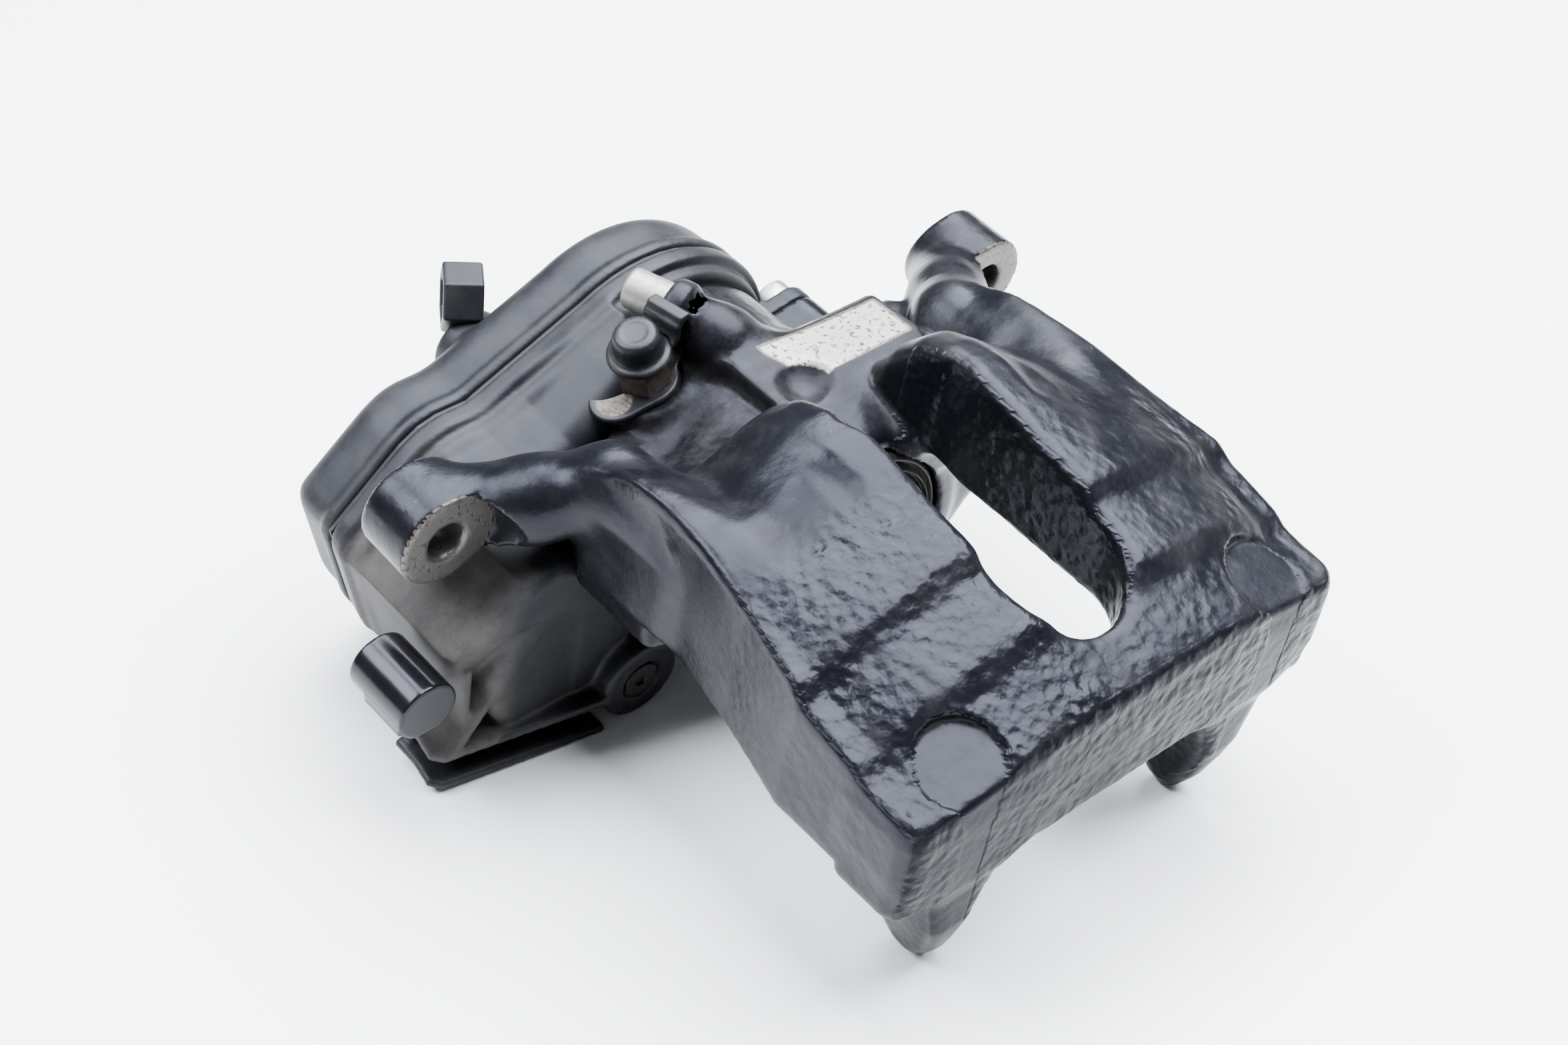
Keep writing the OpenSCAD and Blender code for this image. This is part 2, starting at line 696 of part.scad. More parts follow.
module motor_magnets() {
    color([0.25, 0.25, 0.26]) slab(-5, 22) translate([motor_x, motor_z]) difference() {
        circle(motor_r - 1.25);
        circle(11);
        for (s = [0, 180]) rotate(s) translate([-3, 0]) square([6, 20]);
    }
}

module motor_end_cap() {
    color([0.12, 0.12, 0.12]) difference() {
        rod(motor_r, 28, 31, motor_x, motor_z);
        rod(1.65, 20, 40, motor_x, motor_z);
    }
}

// ---- Small parts of the actuator -----------------------------------------------------------

module mounting_screws() {
    color([0.5, 0.5, 0.5]) for (a = lug_angles) difference() {
        union() {
            rod(2.5, 11, 26.2, lug_at(a)[0], lug_at(a)[1]);
            rod(5, 26, 30, lug_at(a)[0], lug_at(a)[1]);
        }
        slab(27.5, 31) translate(lug_at(a)) circle(r = 2.6, $fn = 6);
    }
}

module case_screw() {
    color([0.3, 0.3, 0.3]) difference() {
        union() {
            rod(2.2, -15.2, -3.2, -32, -48.2);
            rod(4, -16.6, -15.2, -32, -48.2);
        }
        slab(-17, -15.8) translate([-32, -48.2]) circle(r = 1.7, $fn = 6);
    }
}

module plug_shape(r) {
    translate([plug_x, plug_z]) circle(r);
    translate([plug_x - r, plug_z - r - 2]) square([2 * r, r + 2]);
}

module connector_shroud() {
    color([0.05, 0.05, 0.06]) difference() {
        slab(-12, 5) plug_shape(plug_r);
        slab(-9.5, 6) plug_shape(5);
        slab(-13, -1) translate([plug_x - 7.5, plug_z - 4]) square([1.8, 3]);
    }
}

module connector_pins() {
    color([0.8, 0.7, 0.4]) for (z = [-1.6, -5.4])
        slab(-9.5, -1) translate([plug_x - 0.9, plug_z + z]) square([1.8, 0.8]);
}

// Hexagonal cable clip standing on the cover's boss.
module cable_clip() {
    color([0.08, 0.08, 0.09]) {
        difference() {
            translate([-28, 54.9, 2.4]) rotate([0, 0, clip_turn]) rotate([0, 90, 0]) difference() {
                translate([0, 0, -4.2]) cylinder(r = 7.4, h = 8.4, $fn = 6);
                translate([0, 0, -5]) cylinder(r = 5.4, h = 10, $fn = 6);
            }
            // Room for the boss it stands on
            rod(8.4, cover_y, turret_y + 0.05, -29, -8);
        }
        translate([-31, turret_y + 0.05, -8]) cube([5, 4, 5]);
        rod(4, turret_y + 0.05, 53, -29, -8, 32);
        rod(3.4, cover_y + 1.2, turret_y + 1, -29, -8, 32);
    }
}

// ---- Assembly ------------------------------------------------------------------------------

stance() {
    caliper_housing();
    piston();
    piston_seal();
    dust_boot();
    spindle();
    spindle_nut();
    thrust_bearing();
    thrust_washer();
    spindle_seal();
    circlip();
    bleed_screw();
    bleed_cap();
    cap_strap();
    hose_sleeve();
    gear_case_base();
    gear_case_cover();
    case_seal();
    turret_seal();
    ring_gear();
    planet_carrier();
    planet_pins();
    planet_gear_1();
    planet_gear_2();
    planet_gear_3();
    sun_pulley();
    pulley_axle();
    drive_belt();
    motor_pulley();
    motor_shaft();
    motor_armature();
    motor_can();
    motor_magnets();
    motor_end_cap();
    mounting_screws();
    case_screw();
    connector_shroud();
    connector_pins();
    cable_clip();
}
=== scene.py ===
"""Rear brake caliper with a parking brake actuator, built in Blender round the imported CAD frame.

Shapes are worked out in millimetres in the design frame: the origin is midway between the two guide
bolt holes, in the plane of the ears' machined faces, with +X to the right ear, +Y inboard and +Z away
from the disc's centre. TO_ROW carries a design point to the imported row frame.
"""

import json
import math

import bpy
import numpy as np
import openvdb
from mathutils import Matrix, Vector, noise


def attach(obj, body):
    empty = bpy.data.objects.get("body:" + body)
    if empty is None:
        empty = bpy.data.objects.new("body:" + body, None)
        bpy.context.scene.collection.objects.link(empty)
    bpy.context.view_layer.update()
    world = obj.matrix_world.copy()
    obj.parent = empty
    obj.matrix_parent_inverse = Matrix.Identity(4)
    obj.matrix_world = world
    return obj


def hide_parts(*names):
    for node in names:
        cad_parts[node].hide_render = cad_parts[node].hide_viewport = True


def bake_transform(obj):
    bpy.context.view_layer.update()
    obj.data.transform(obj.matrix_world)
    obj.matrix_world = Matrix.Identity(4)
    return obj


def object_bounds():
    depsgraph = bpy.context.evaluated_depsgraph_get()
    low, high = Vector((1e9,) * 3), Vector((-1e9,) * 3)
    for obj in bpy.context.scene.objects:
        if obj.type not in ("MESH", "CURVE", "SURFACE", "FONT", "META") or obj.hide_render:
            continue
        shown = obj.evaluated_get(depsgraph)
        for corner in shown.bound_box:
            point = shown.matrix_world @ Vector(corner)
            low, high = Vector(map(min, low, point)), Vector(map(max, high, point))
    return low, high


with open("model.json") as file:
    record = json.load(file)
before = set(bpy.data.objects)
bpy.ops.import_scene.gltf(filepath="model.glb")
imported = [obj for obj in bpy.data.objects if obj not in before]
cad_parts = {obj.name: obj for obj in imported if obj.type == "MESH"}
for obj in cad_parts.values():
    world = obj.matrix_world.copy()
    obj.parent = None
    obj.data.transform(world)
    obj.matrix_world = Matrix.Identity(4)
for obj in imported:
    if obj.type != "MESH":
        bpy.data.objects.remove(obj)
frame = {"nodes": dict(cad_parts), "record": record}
cad_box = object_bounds()

MM = 0.001

# ---- Design frame --------------------------------------------------------------------------

# Ears, cylinder and casting
EAR_X, EAR_R, EAR_LEN, GUIDE_R = 72, 10.15, 14, 4.1
PISTON_Z, PISTON_R, CYLINDER_R = -16, 21.5, 29
FRONT_Y, FINGER_Y, MOUTH_Y, BACK_Y = -110, -93, -35, 22
WINDOW_HALF = 13.4

# Gear case: its joint and cover, the round part round the piston's axis, and places in XZ
SEAM_Y, COVER_Y, LOBE_R = 31, 47, 33
MOTOR, PLUG, CASE_SCREW, TURRET = (-50, -36), (-83.2, -29.6), (-32, -48.2), (-29, -8)
LUG_ANGLES, LUG_ORBIT = (8, 262), 37.5

# Bleed screw, the strap on it, and the hose port; angles in degrees
BLEED_AT, BLEED_LEAN, STRAP_TURN = (-17.4, 8.4, 6.4), 18, 10
PORT_AT, PORT_TURN = (-7.7, 11.3, 19.7), 20.8


def mount(name):
    return next(m for m in frame["record"]["mounts"] if m["name"] == name)


def design_to_row():
    left, right = mount("guide_bolt_left"), mount("guide_bolt_right")
    inboard = Vector(left["axis"]).normalized()
    across = (Vector(right["pos_m"]) - Vector(left["pos_m"])).normalized()
    radial = across.cross(inboard)
    origin = (Vector(left["pos_m"]) + Vector(right["pos_m"])) / 2 - inboard * EAR_LEN / 2 * MM
    turn = Matrix((across, inboard, radial)).transposed().to_4x4()
    return Matrix.Translation(origin) @ turn


TO_ROW = design_to_row()


def rigid(at=(0, 0, 0), turn=None):
    """A place in the design frame, as a matrix in metres in the row frame."""
    return TO_ROW @ Matrix.Translation(Vector(at) * MM) @ (turn or Matrix.Identity(4))


def about(axis, degrees):
    return Matrix.Rotation(math.radians(degrees), 4, axis)


BLEEDER_TURN = about("Y", -BLEED_LEAN)
PORT_AXIS_TURN = about("Z", PORT_TURN) @ about("X", -90)
BLEEDER, PORT = rigid(BLEED_AT, BLEEDER_TURN), rigid(PORT_AT, PORT_AXIS_TURN)
PISTON_AXIS = rigid((0, 0, PISTON_Z), about("X", -90))

# ---- Solids from distance fields -----------------------------------------------------------


class Block:
    """Sample points on a block of space in millimetres, with signed distances to simple solids."""

    def __init__(self, low, high, step):
        self.low, self.step = np.array(low, float), step
        axes = [np.arange(a, b, step, dtype=np.float32) for a, b in zip(low, high)]
        self.x, self.y, self.z = np.meshgrid(*axes, indexing="ij", sparse=True)

    def rod(self, r, y0, y1, x=0, z=0, soft=0.4):
        across = np.hypot(self.x - x, self.z - z) - r
        return meet(across, self.between_y(y0, y1), soft)

    def between_y(self, y0, y1):
        return np.abs(self.y - (y0 + y1) / 2) - (y1 - y0) / 2

    def slab(self, y0, y1, outline, soft=0.6, mirrored=False):
        """An outline in XZ with depth from y0 to y1."""
        x = np.abs(self.x) if mirrored else self.x
        return meet(polygon(x, self.z, outline), self.between_y(y0, y1), soft)

    def side(self, x0, x1, outline, soft=0.6):
        """An outline in YZ with width from x0 to x1."""
        width = np.abs(self.x - (x0 + x1) / 2) - (x1 - x0) / 2
        return meet(polygon(self.y, self.z, outline), width, soft)

    def bar(self, a, b, ra, rb, mirrored=False):
        """A round bar with ball ends, its radius going from ra to rb."""
        x = np.abs(self.x) if mirrored else self.x
        ax, ay, az = a
        dx, dy, dz = (q - p for p, q in zip(a, b))
        t = ((x - ax) * dx + (self.y - ay) * dy + (self.z - az) * dz) / (dx * dx + dy * dy + dz * dz)
        t = np.clip(t, 0, 1)
        gap = (x - ax - dx * t) ** 2 + (self.y - ay - dy * t) ** 2 + (self.z - az - dz * t) ** 2
        return np.sqrt(gap) - (ra + (rb - ra) * t)

    def local(self, at, turn):
        """The sample points as seen from another place: at, then turned by a matrix."""
        x, y, z = self.x - at[0], self.y - at[1], self.z - at[2]
        return [x * turn[0][i] + y * turn[1][i] + z * turn[2][i] for i in range(3)]


def join(a, b, r=0.0):
    """Union, with a fillet about r wide."""
    if r <= 0:
        return np.minimum(a, b)
    h = np.maximum(r - np.abs(a - b), 0)
    return np.minimum(a, b) - h * h / (4 * r)


def meet(a, b, r=0.0):
    return -join(-a, -b, r)


def cut(a, b, r=0.0):
    return meet(a, -b, r)


def polygon(u, v, points):
    """Signed distance to a closed outline."""
    gap, inside = None, None
    for (au, av), (bu, bv) in zip(points, points[1:] + points[:1]):
        eu, ev = bu - au, bv - av
        t = np.clip(((u - au) * eu + (v - av) * ev) / (eu * eu + ev * ev), 0, 1)
        d = (u - au - eu * t) ** 2 + (v - av - ev * t) ** 2
        gap = d if gap is None else np.minimum(gap, d)
        if ev:
            crosses = ((av <= v) != (bv <= v)) & (u < au + (v - av) * eu / ev)
            inside = crosses if inside is None else inside ^ crosses
    return np.where(inside, -1, 1) * np.sqrt(gap)


def inset(outline, d):
    """An anticlockwise or clockwise outline moved inward by d."""
    area = sum(a[0] * b[1] - b[0] * a[1] for a, b in zip(outline, outline[1:] + outline[:1]))
    d = d if area < 0 else -d
    moved = []
    for a, b, c in zip(outline[-1:] + outline[:-1], outline, outline[1:] + outline[:1]):
        u, v = (Vector(b) - Vector(a)).normalized(), (Vector(c) - Vector(b)).normalized()
        m = u + v
        moved.append(tuple(Vector(b) + Vector((m.y, -m.x)) * d / (1 + u.dot(v))))
    return moved


def soften(field, passes, axis):
    """A few averaging passes along one axis."""
    for _ in range(passes):
        padded = np.concatenate([field.take([0], axis), field, field.take([-1], axis)], axis)
        count = padded.shape[axis]
        ahead, behind = padded.take(range(2, count), axis), padded.take(range(count - 2), axis)
        field = (ahead + behind + 2 * field) / 4
    return field


# ---- Pieces --------------------------------------------------------------------------------


def finish_piece(name, points, faces, place, body, replaced, material):
    """Makes the mesh, lets it stand for its CAD nodes and rides it on its body."""
    mesh = bpy.data.meshes.new(name)
    mesh.from_pydata(points, [], faces)
    mesh.transform(place)
    spots = np.empty(len(mesh.vertices) * 3, np.float32)
    mesh.vertices.foreach_get("co", spots)
    spots = np.clip(spots.reshape(-1, 3), cad_box[0], cad_box[1])
    mesh.vertices.foreach_set("co", spots.ravel())
    mesh.update()
    mesh.shade_smooth()
    piece = bpy.data.objects.new(name, mesh)
    bpy.context.scene.collection.objects.link(piece)
    mesh.materials.append(material)
    if replaced:
        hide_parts(*replaced)
    if body:
        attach(piece, body)
    return piece


def moulded(name, points, quads, node, material, place=None, body="housing"):
    """A piece that stands for one CAD node, from a surface in millimetres."""
    return finish_piece(name, points * MM, quads.tolist(), place or TO_ROW, body, [node], material)


def surface_of(block, field):
    """Points in millimetres and faces of the field's zero surface, facing outward."""
    band = 3 * block.step
    values = np.clip(np.broadcast_to(field, [block.x.size, block.y.size, block.z.size]), -band, band)
    grid = openvdb.FloatGrid(band)
    grid.copyFromArray(np.ascontiguousarray(values, dtype=np.float32))
    points, quads = grid.convertToQuads(isovalue=0.0)
    points = points.astype(float) * block.step + block.low
    a, b, c = (points[quads[:, i]] for i in range(3))
    d = points[quads[:, 3]]
    volume = np.einsum("ij,ij->", a, np.cross(b, c)) + np.einsum("ij,ij->", a, np.cross(c, d))
    return points, quads[:, ::-1] if volume < 0 else quads


def normals_of(points, quads):
    across = np.cross(points[quads[:, 2]] - points[quads[:, 0]], points[quads[:, 3]] - points[quads[:, 1]])
    total = np.zeros_like(points)
    for i in range(4):
        np.add.at(total, quads[:, i], across)
    return total / np.maximum(np.linalg.norm(total, axis=1, keepdims=True), 1e-12)


def bulge_of(points, quads, normals, passes=4):
    """How convex the surface is at each point, above 0 on an edge and below 0 in a corner."""
    bend, count = np.zeros(len(points)), np.zeros(len(points))
    pairs = np.concatenate([quads[:, [i, (i + 1) % 4]] for i in range(4)])
    for p, q in (pairs.T, pairs.T[::-1]):
        way = points[q] - points[p]
        rise = -np.einsum("ij,ij->i", normals[p], way) / np.maximum(np.linalg.norm(way, axis=1), 1e-9)
        np.add.at(bend, p, rise)
        np.add.at(count, p, 1)
    bend /= np.maximum(count, 1)
    for _ in range(passes):
        spread = np.zeros(len(points))
        for p, q in (pairs.T, pairs.T[::-1]):
            np.add.at(spread, p, bend[q])
        bend = (bend + spread / np.maximum(count, 1)) / 2
    return bend


def paint_values(piece, **layers):
    """Float attributes on the points, for the shaders to read."""
    for name, values in layers.items():
        layer = piece.data.attributes.new(name, "FLOAT", "POINT")
        layer.data.foreach_set("value", np.asarray(values, np.float32))


def turned(name, profile, place, body, replaced, material, segments=96):
    """A profile of (radius, height) points in millimetres turned about the place's Z axis."""
    angles = np.linspace(0, 2 * math.pi, segments, endpoint=False)
    points, faces, rings = [], [], []
    for r, h in profile:
        if r < 1e-6:
            rings.append([len(points)] * segments)
            points.append((0, 0, h * MM))
        else:
            rings.append(list(range(len(points), len(points) + segments)))
            points += [(r * math.cos(a) * MM, r * math.sin(a) * MM, h * MM) for a in angles]
    closed = profile[0][0] > 1e-6 and profile[-1][0] > 1e-6
    pairs = list(zip(rings, rings[1:])) + ([(rings[-1], rings[0])] if closed else [])
    for low, high in pairs:
        for i in range(segments):
            j = (i + 1) % segments
            face = [low[i], low[j], high[j], high[i]]
            face = [v for k, v in enumerate(face) if v != face[k - 1]]
            if len(face) > 2:
                faces.append(face)
    return finish_piece(name, points, faces, place, body, replaced, material)


def rounded(profile, r, steps=4):
    """A profile's corners rounded to about r, its two ends left alone if they are on the axis."""
    out, n = [], len(profile)
    for i, p in enumerate(profile):
        if abs(p[0]) < 1e-6:
            out.append(p)
            continue
        a, b, c = Vector(profile[i - 1]), Vector(p), Vector(profile[(i + 1) % n])
        reach = min(r, (a - b).length * 0.45, (c - b).length * 0.45)
        start, end = b + (a - b).normalized() * reach, b + (c - b).normalized() * reach
        for k in range(steps + 1):
            t = k / steps
            out.append(tuple(start * (1 - t) ** 2 + b * 2 * t * (1 - t) + end * t * t))
    return out


# ---- Materials -----------------------------------------------------------------------------


class Shader:
    """A node material with a few short ways to add nodes."""

    def __init__(self, name):
        self.material = bpy.data.materials.new(name)
        self.material.use_nodes = True
        self.nodes, self.links = self.material.node_tree.nodes, self.material.node_tree.links
        self.nodes.clear()
        self.out = self.nodes.new("ShaderNodeOutputMaterial")
        self.place = self.nodes.new("ShaderNodeTexCoord").outputs["Object"]

    def put(self, socket, value):
        if isinstance(value, bpy.types.NodeSocket):
            self.links.new(value, socket)
        else:
            socket.default_value = value

    def noise(self, size, detail=2.0, rough=0.5, stretch=None, seed=0.0):
        """Noise from 0 to 1 whose lumps are about size millimetres across."""
        node = self.nodes.new("ShaderNodeTexNoise")
        node.inputs["Scale"].default_value = 1 / (size * MM)
        node.inputs["Detail"].default_value = detail
        node.inputs["Roughness"].default_value = rough
        self.put(node.inputs["Vector"], self.moved(stretch, seed))
        return node.outputs["Fac"]

    def cells(self, size, seed=0.0, smooth=0.6):
        node = self.nodes.new("ShaderNodeTexVoronoi")
        node.feature = "SMOOTH_F1"
        node.inputs["Scale"].default_value = 1 / (size * MM)
        node.inputs["Smoothness"].default_value = smooth
        self.put(node.inputs["Vector"], self.moved(None, seed))
        return node.outputs["Distance"]

    def moved(self, stretch, seed):
        if stretch is None and not seed:
            return self.place
        node = self.nodes.new("ShaderNodeMapping")
        node.inputs["Location"].default_value = (seed, seed * 0.7, -seed)
        node.inputs["Scale"].default_value = stretch or (1, 1, 1)
        self.links.new(self.place, node.inputs["Vector"])
        return node.outputs["Vector"]

    def layer(self, name):
        node = self.nodes.new("ShaderNodeAttribute")
        node.attribute_name = name
        return node.outputs["Fac"]

    def upward(self):
        split = self.nodes.new("ShaderNodeSeparateXYZ")
        self.links.new(self.nodes.new("ShaderNodeNewGeometry").outputs["Normal"], split.inputs[0])
        return split.outputs["Z"]

    def math(self, kind, a, b=0.0, clamp=False):
        node = self.nodes.new("ShaderNodeMath")
        node.operation, node.use_clamp = kind, clamp
        self.put(node.inputs[0], a)
        self.put(node.inputs[1], b)
        return node.outputs[0]

    def add(self, a, b):
        return self.math("ADD", a, b)

    def times(self, a, b):
        return self.math("MULTIPLY", a, b)

    def ramp(self, value, low, high, to_low=0.0, to_high=1.0):
        """value taken smoothly from low..high to to_low..to_high."""
        node = self.nodes.new("ShaderNodeMapRange")
        node.interpolation_type = "SMOOTHSTEP"
        self.put(node.inputs["Value"], value)
        for key, number in (("From Min", low), ("From Max", high), ("To Min", to_low), ("To Max", to_high)):
            node.inputs[key].default_value = number
        return node.outputs["Result"]

    def blend(self, share, a, b):
        """Colour a where share is 0 and b where it is 1."""
        node = self.nodes.new("ShaderNodeMix")
        node.data_type = "RGBA"
        self.put(node.inputs["Factor"], share)
        for key, colour in (("A", a), ("B", b)):
            socket = next(s for s in node.inputs if s.name == key and s.type == "RGBA")
            self.put(socket, (*colour, 1) if isinstance(colour, tuple) else colour)
        return next(s for s in node.outputs if s.type == "RGBA")

    def bump(self, height, depth, under=None):
        """A normal for a height from 0 to 1 that stands for depth millimetres."""
        node = self.nodes.new("ShaderNodeBump")
        node.inputs["Strength"].default_value = 1.0
        node.inputs["Distance"].default_value = depth * MM
        self.put(node.inputs["Height"], height)
        if under is not None:
            self.links.new(under, node.inputs["Normal"])
        return node.outputs["Normal"]

    def surface(self, colour, roughness, normal=None, **more):
        """A Principled surface; more holds values or links for its other sockets."""
        node = self.nodes.new("ShaderNodeBsdfPrincipled")
        self.put(node.inputs["Base Color"], (*colour, 1) if isinstance(colour, tuple) else colour)
        self.put(node.inputs["Roughness"], roughness)
        if normal is not None:
            self.links.new(normal, node.inputs["Normal"])
        for key, value in more.items():
            self.put(node.inputs[key.replace("_", " ")], value)
        return node.outputs["BSDF"]

    def over(self, share, under, top):
        node = self.nodes.new("ShaderNodeMixShader")
        self.put(node.inputs[0], share)
        self.links.new(under, node.inputs[1])
        self.links.new(top, node.inputs[2])
        return node.outputs[0]

    def done(self, shader):
        self.links.new(shader, self.out.inputs["Surface"])
        return self.material


def paint_material():
    """Black dip paint on rough iron, with bare machined spots, rust at their rims and road dust; its
    reflections are tinted blue as painted light and turned down on the fist's front face as painted shade.
    """
    s = Shader("black_paint_on_iron")
    cast, bare, hollow = s.layer("cast"), s.layer("bare"), s.layer("hollow")
    pebble = s.ramp(s.cells(2.3, smooth=0.9), 0.05, 0.8)
    skin = s.noise(2.6, 2, 0.5)
    height = s.times(s.add(s.times(pebble, 0.4), s.times(skin, 0.6)), cast)
    normal = s.bump(height, 0.6)
    normal = s.bump(s.noise(0.9, 2, 0.5), 0.035, normal)
    dust = s.times(s.ramp(s.noise(9, 5, 0.65, seed=3.1), 0.42, 0.72), s.ramp(s.upward(), -0.1, 0.9))
    dirt = s.math("ADD", s.times(dust, 0.35), s.times(hollow, s.ramp(s.noise(4, 4, 0.7), 0.3, 0.75)), True)
    colour = s.blend(s.times(dirt, 0.6), (0.003, 0.0031, 0.0045), (0.026, 0.023, 0.021))
    speck = s.ramp(s.noise(1.1, 1, 0.5, seed=9.0), 0.78, 0.82)
    colour = s.blend(s.times(speck, 0.25), colour, (0.12, 0.11, 0.1))
    clean = s.ramp(s.noise(14, 3, 0.6, seed=5.0), 0.3, 0.7, 0.24, 0.38)
    rough = s.math("ADD", clean, s.times(dirt, 0.3), True)
    # Painted shade: the paint's reflection is turned down on the fist's front face to darken it
    gloss = s.ramp(s.layer("sheltered"), 0, 1, 0.18, 0.06)
    # Painted reflection colour: the bluish specular tint stands in for bluish light
    paint = s.surface(colour, rough, normal, Specular_IOR_Level=gloss, Specular_Tint=(0.84, 0.85, 1, 1))
    edge = s.add(bare, s.times(s.add(s.noise(1.6, 4, 0.7, seed=2.0), -0.5), 0.55))
    grain = s.noise(0.5, 3, 0.6, stretch=(1, 6, 1))
    pits = s.ramp(s.noise(1.2, 3, 0.6, seed=7.0), 0.55, 0.68)
    tone = s.blend(s.ramp(bare, 0.82, 0.98), (0.085, 0.08, 0.075), (0.24, 0.23, 0.215))
    steel_rough = s.ramp(grain, 0.2, 0.8, 0.34, 0.6)
    tone = s.blend(pits, tone, (0.05, 0.04, 0.03))
    steel = s.surface(tone, steel_rough, s.bump(pits, -0.06), Metallic=0.85)
    rust_colour = s.blend(s.noise(1.4, 4, 0.7), (0.028, 0.017, 0.012), (0.13, 0.07, 0.04))
    rust = s.surface(rust_colour, 0.85, s.bump(s.noise(0.7, 4, 0.7), 0.2))
    shown = s.over(s.ramp(edge, 0.36, 0.44), paint, rust)
    return s.done(s.over(s.ramp(edge, 0.52, 0.58), shown, steel))


def plastic_material(name, base, dusty, dust_share, rough, grain=0.03):
    """Moulded plastic with a spark-eroded grain, dust that lies on top and in the corners."""
    s = Shader(name)
    normal = s.bump(s.noise(0.55, 3, 0.6), grain)
    normal = s.bump(s.noise(16, 2, 0.5), 0.25, normal)
    patches = s.ramp(s.noise(11, 5, 0.65, seed=1.7), 0.33, 0.7)
    lying = s.math("MULTIPLY", patches, s.ramp(s.upward(), -0.5, 0.8, 0.35, 1.0), True)
    share = s.math("ADD", s.times(lying, dust_share), s.times(s.layer("hollow"), dust_share * 1.3), True)
    grime = s.ramp(s.noise(3, 5, 0.7), 0.25, 0.7, 0.45, 1.0)
    share = s.math("ADD", share, s.times(s.layer("dirt"), grime), True)
    clean = s.ramp(s.noise(20, 3, 0.6), 0.3, 0.7, rough, rough + 0.1)
    roughness = s.math("ADD", s.times(share, 0.25), clean, True)
    colour = s.blend(share, base, dusty)
    # The bluish specular tint is painted reflection colour, standing in for bluish light
    gloss = {"Specular_IOR_Level": 0.25, "Specular_Tint": (0.88, 0.89, 1, 1)}
    return s.done(s.surface(colour, roughness, normal, **gloss))


def rubber_material(name, base, dusty, rough):
    s = Shader(name)
    normal = s.bump(s.noise(0.9, 4, 0.6), 0.04)
    worn = s.ramp(s.noise(3.5, 5, 0.7, seed=4.0), 0.45, 0.75)
    scuff = s.ramp(s.layer("worn"), 0.3, 0.7)
    streak = s.ramp(s.noise(0.8, 3, 0.7, stretch=(1, 0.25, 1)), 0.35, 0.6)
    colour = s.blend(s.times(worn, 0.6), base, dusty)
    colour = s.blend(s.times(scuff, s.ramp(streak, 0.0, 1.0, 0.25, 0.9)), colour, (0.16, 0.13, 0.10))
    return s.done(s.surface(colour, s.ramp(worn, 0, 1, rough, rough + 0.2), normal, Specular_IOR_Level=0.3))


def metal_material(name, base, dull, rough, stretch=(1, 1, 1), share=0.6, metallic=1.0):
    """Machined or plated metal, with fine tool marks and duller patches."""
    s = Shader(name)
    marks = s.noise(0.45, 3, 0.6, stretch=stretch)
    patches = s.ramp(s.noise(2.2, 5, 0.7, seed=6.0), 0.4, 0.7)
    colour = s.blend(s.times(patches, share), base, dull)
    clean = s.ramp(marks, 0.3, 0.7, rough, rough + 0.14)
    roughness = s.math("ADD", clean, s.times(patches, 0.25 * share), True)
    return s.done(s.surface(colour, roughness, s.bump(marks, 0.02), Metallic=metallic))


PAINT = paint_material()
CASE = plastic_material("case_plastic", (0.006, 0.0062, 0.0078), (0.05, 0.046, 0.041), 0.3, 0.42)
GLOSS = plastic_material("plug_plastic", (0.003, 0.003, 0.004), (0.04, 0.036, 0.032), 0.07, 0.16, 0.008)
SEAL = rubber_material("seal_rubber", (0.008, 0.008, 0.009), (0.05, 0.046, 0.042), 0.6)
CAP = rubber_material("cap_rubber", (0.006, 0.0065, 0.0085), (0.032, 0.03, 0.028), 0.42)
STEEL = metal_material("machined_steel", (0.42, 0.41, 0.39), (0.2, 0.17, 0.14), 0.3, (1, 8, 1))
PISTON = metal_material("ground_piston", (0.2, 0.195, 0.185), (0.07, 0.06, 0.05), 0.24, (8, 1, 8), 0.8)
RUST_TONES = (0.10, 0.085, 0.07), (0.05, 0.028, 0.016)
RUST = metal_material("rusty_plating", *RUST_TONES, 0.5, share=0.9, metallic=0.6)
PORT_STEEL = metal_material("dull_zinc", (0.3, 0.29, 0.275), (0.17, 0.155, 0.14), 0.42, (1, 1, 1), 0.5, 0.9)
DARK_SCREW = metal_material("blackened_screw", (0.05, 0.05, 0.052), (0.09, 0.07, 0.05), 0.4, share=0.5)
GEAR = plastic_material("gear_acetal", (0.55, 0.52, 0.43), (0.4, 0.36, 0.28), 0.2, 0.4)
BELT = rubber_material("belt_rubber", (0.008, 0.008, 0.008), (0.04, 0.04, 0.04), 0.55)
COPPER = metal_material("motor_winding", (0.5, 0.24, 0.11), (0.2, 0.1, 0.05), 0.35, (1, 12, 1), 0.4)
FERRITE = metal_material("ferrite", (0.03, 0.03, 0.032), (0.05, 0.048, 0.045), 0.6, share=0.5, metallic=0.1)
TERMINAL = metal_material("tinned_terminal", (0.7, 0.62, 0.4), (0.45, 0.38, 0.22), 0.3)

# ---- The casting ---------------------------------------------------------------------------

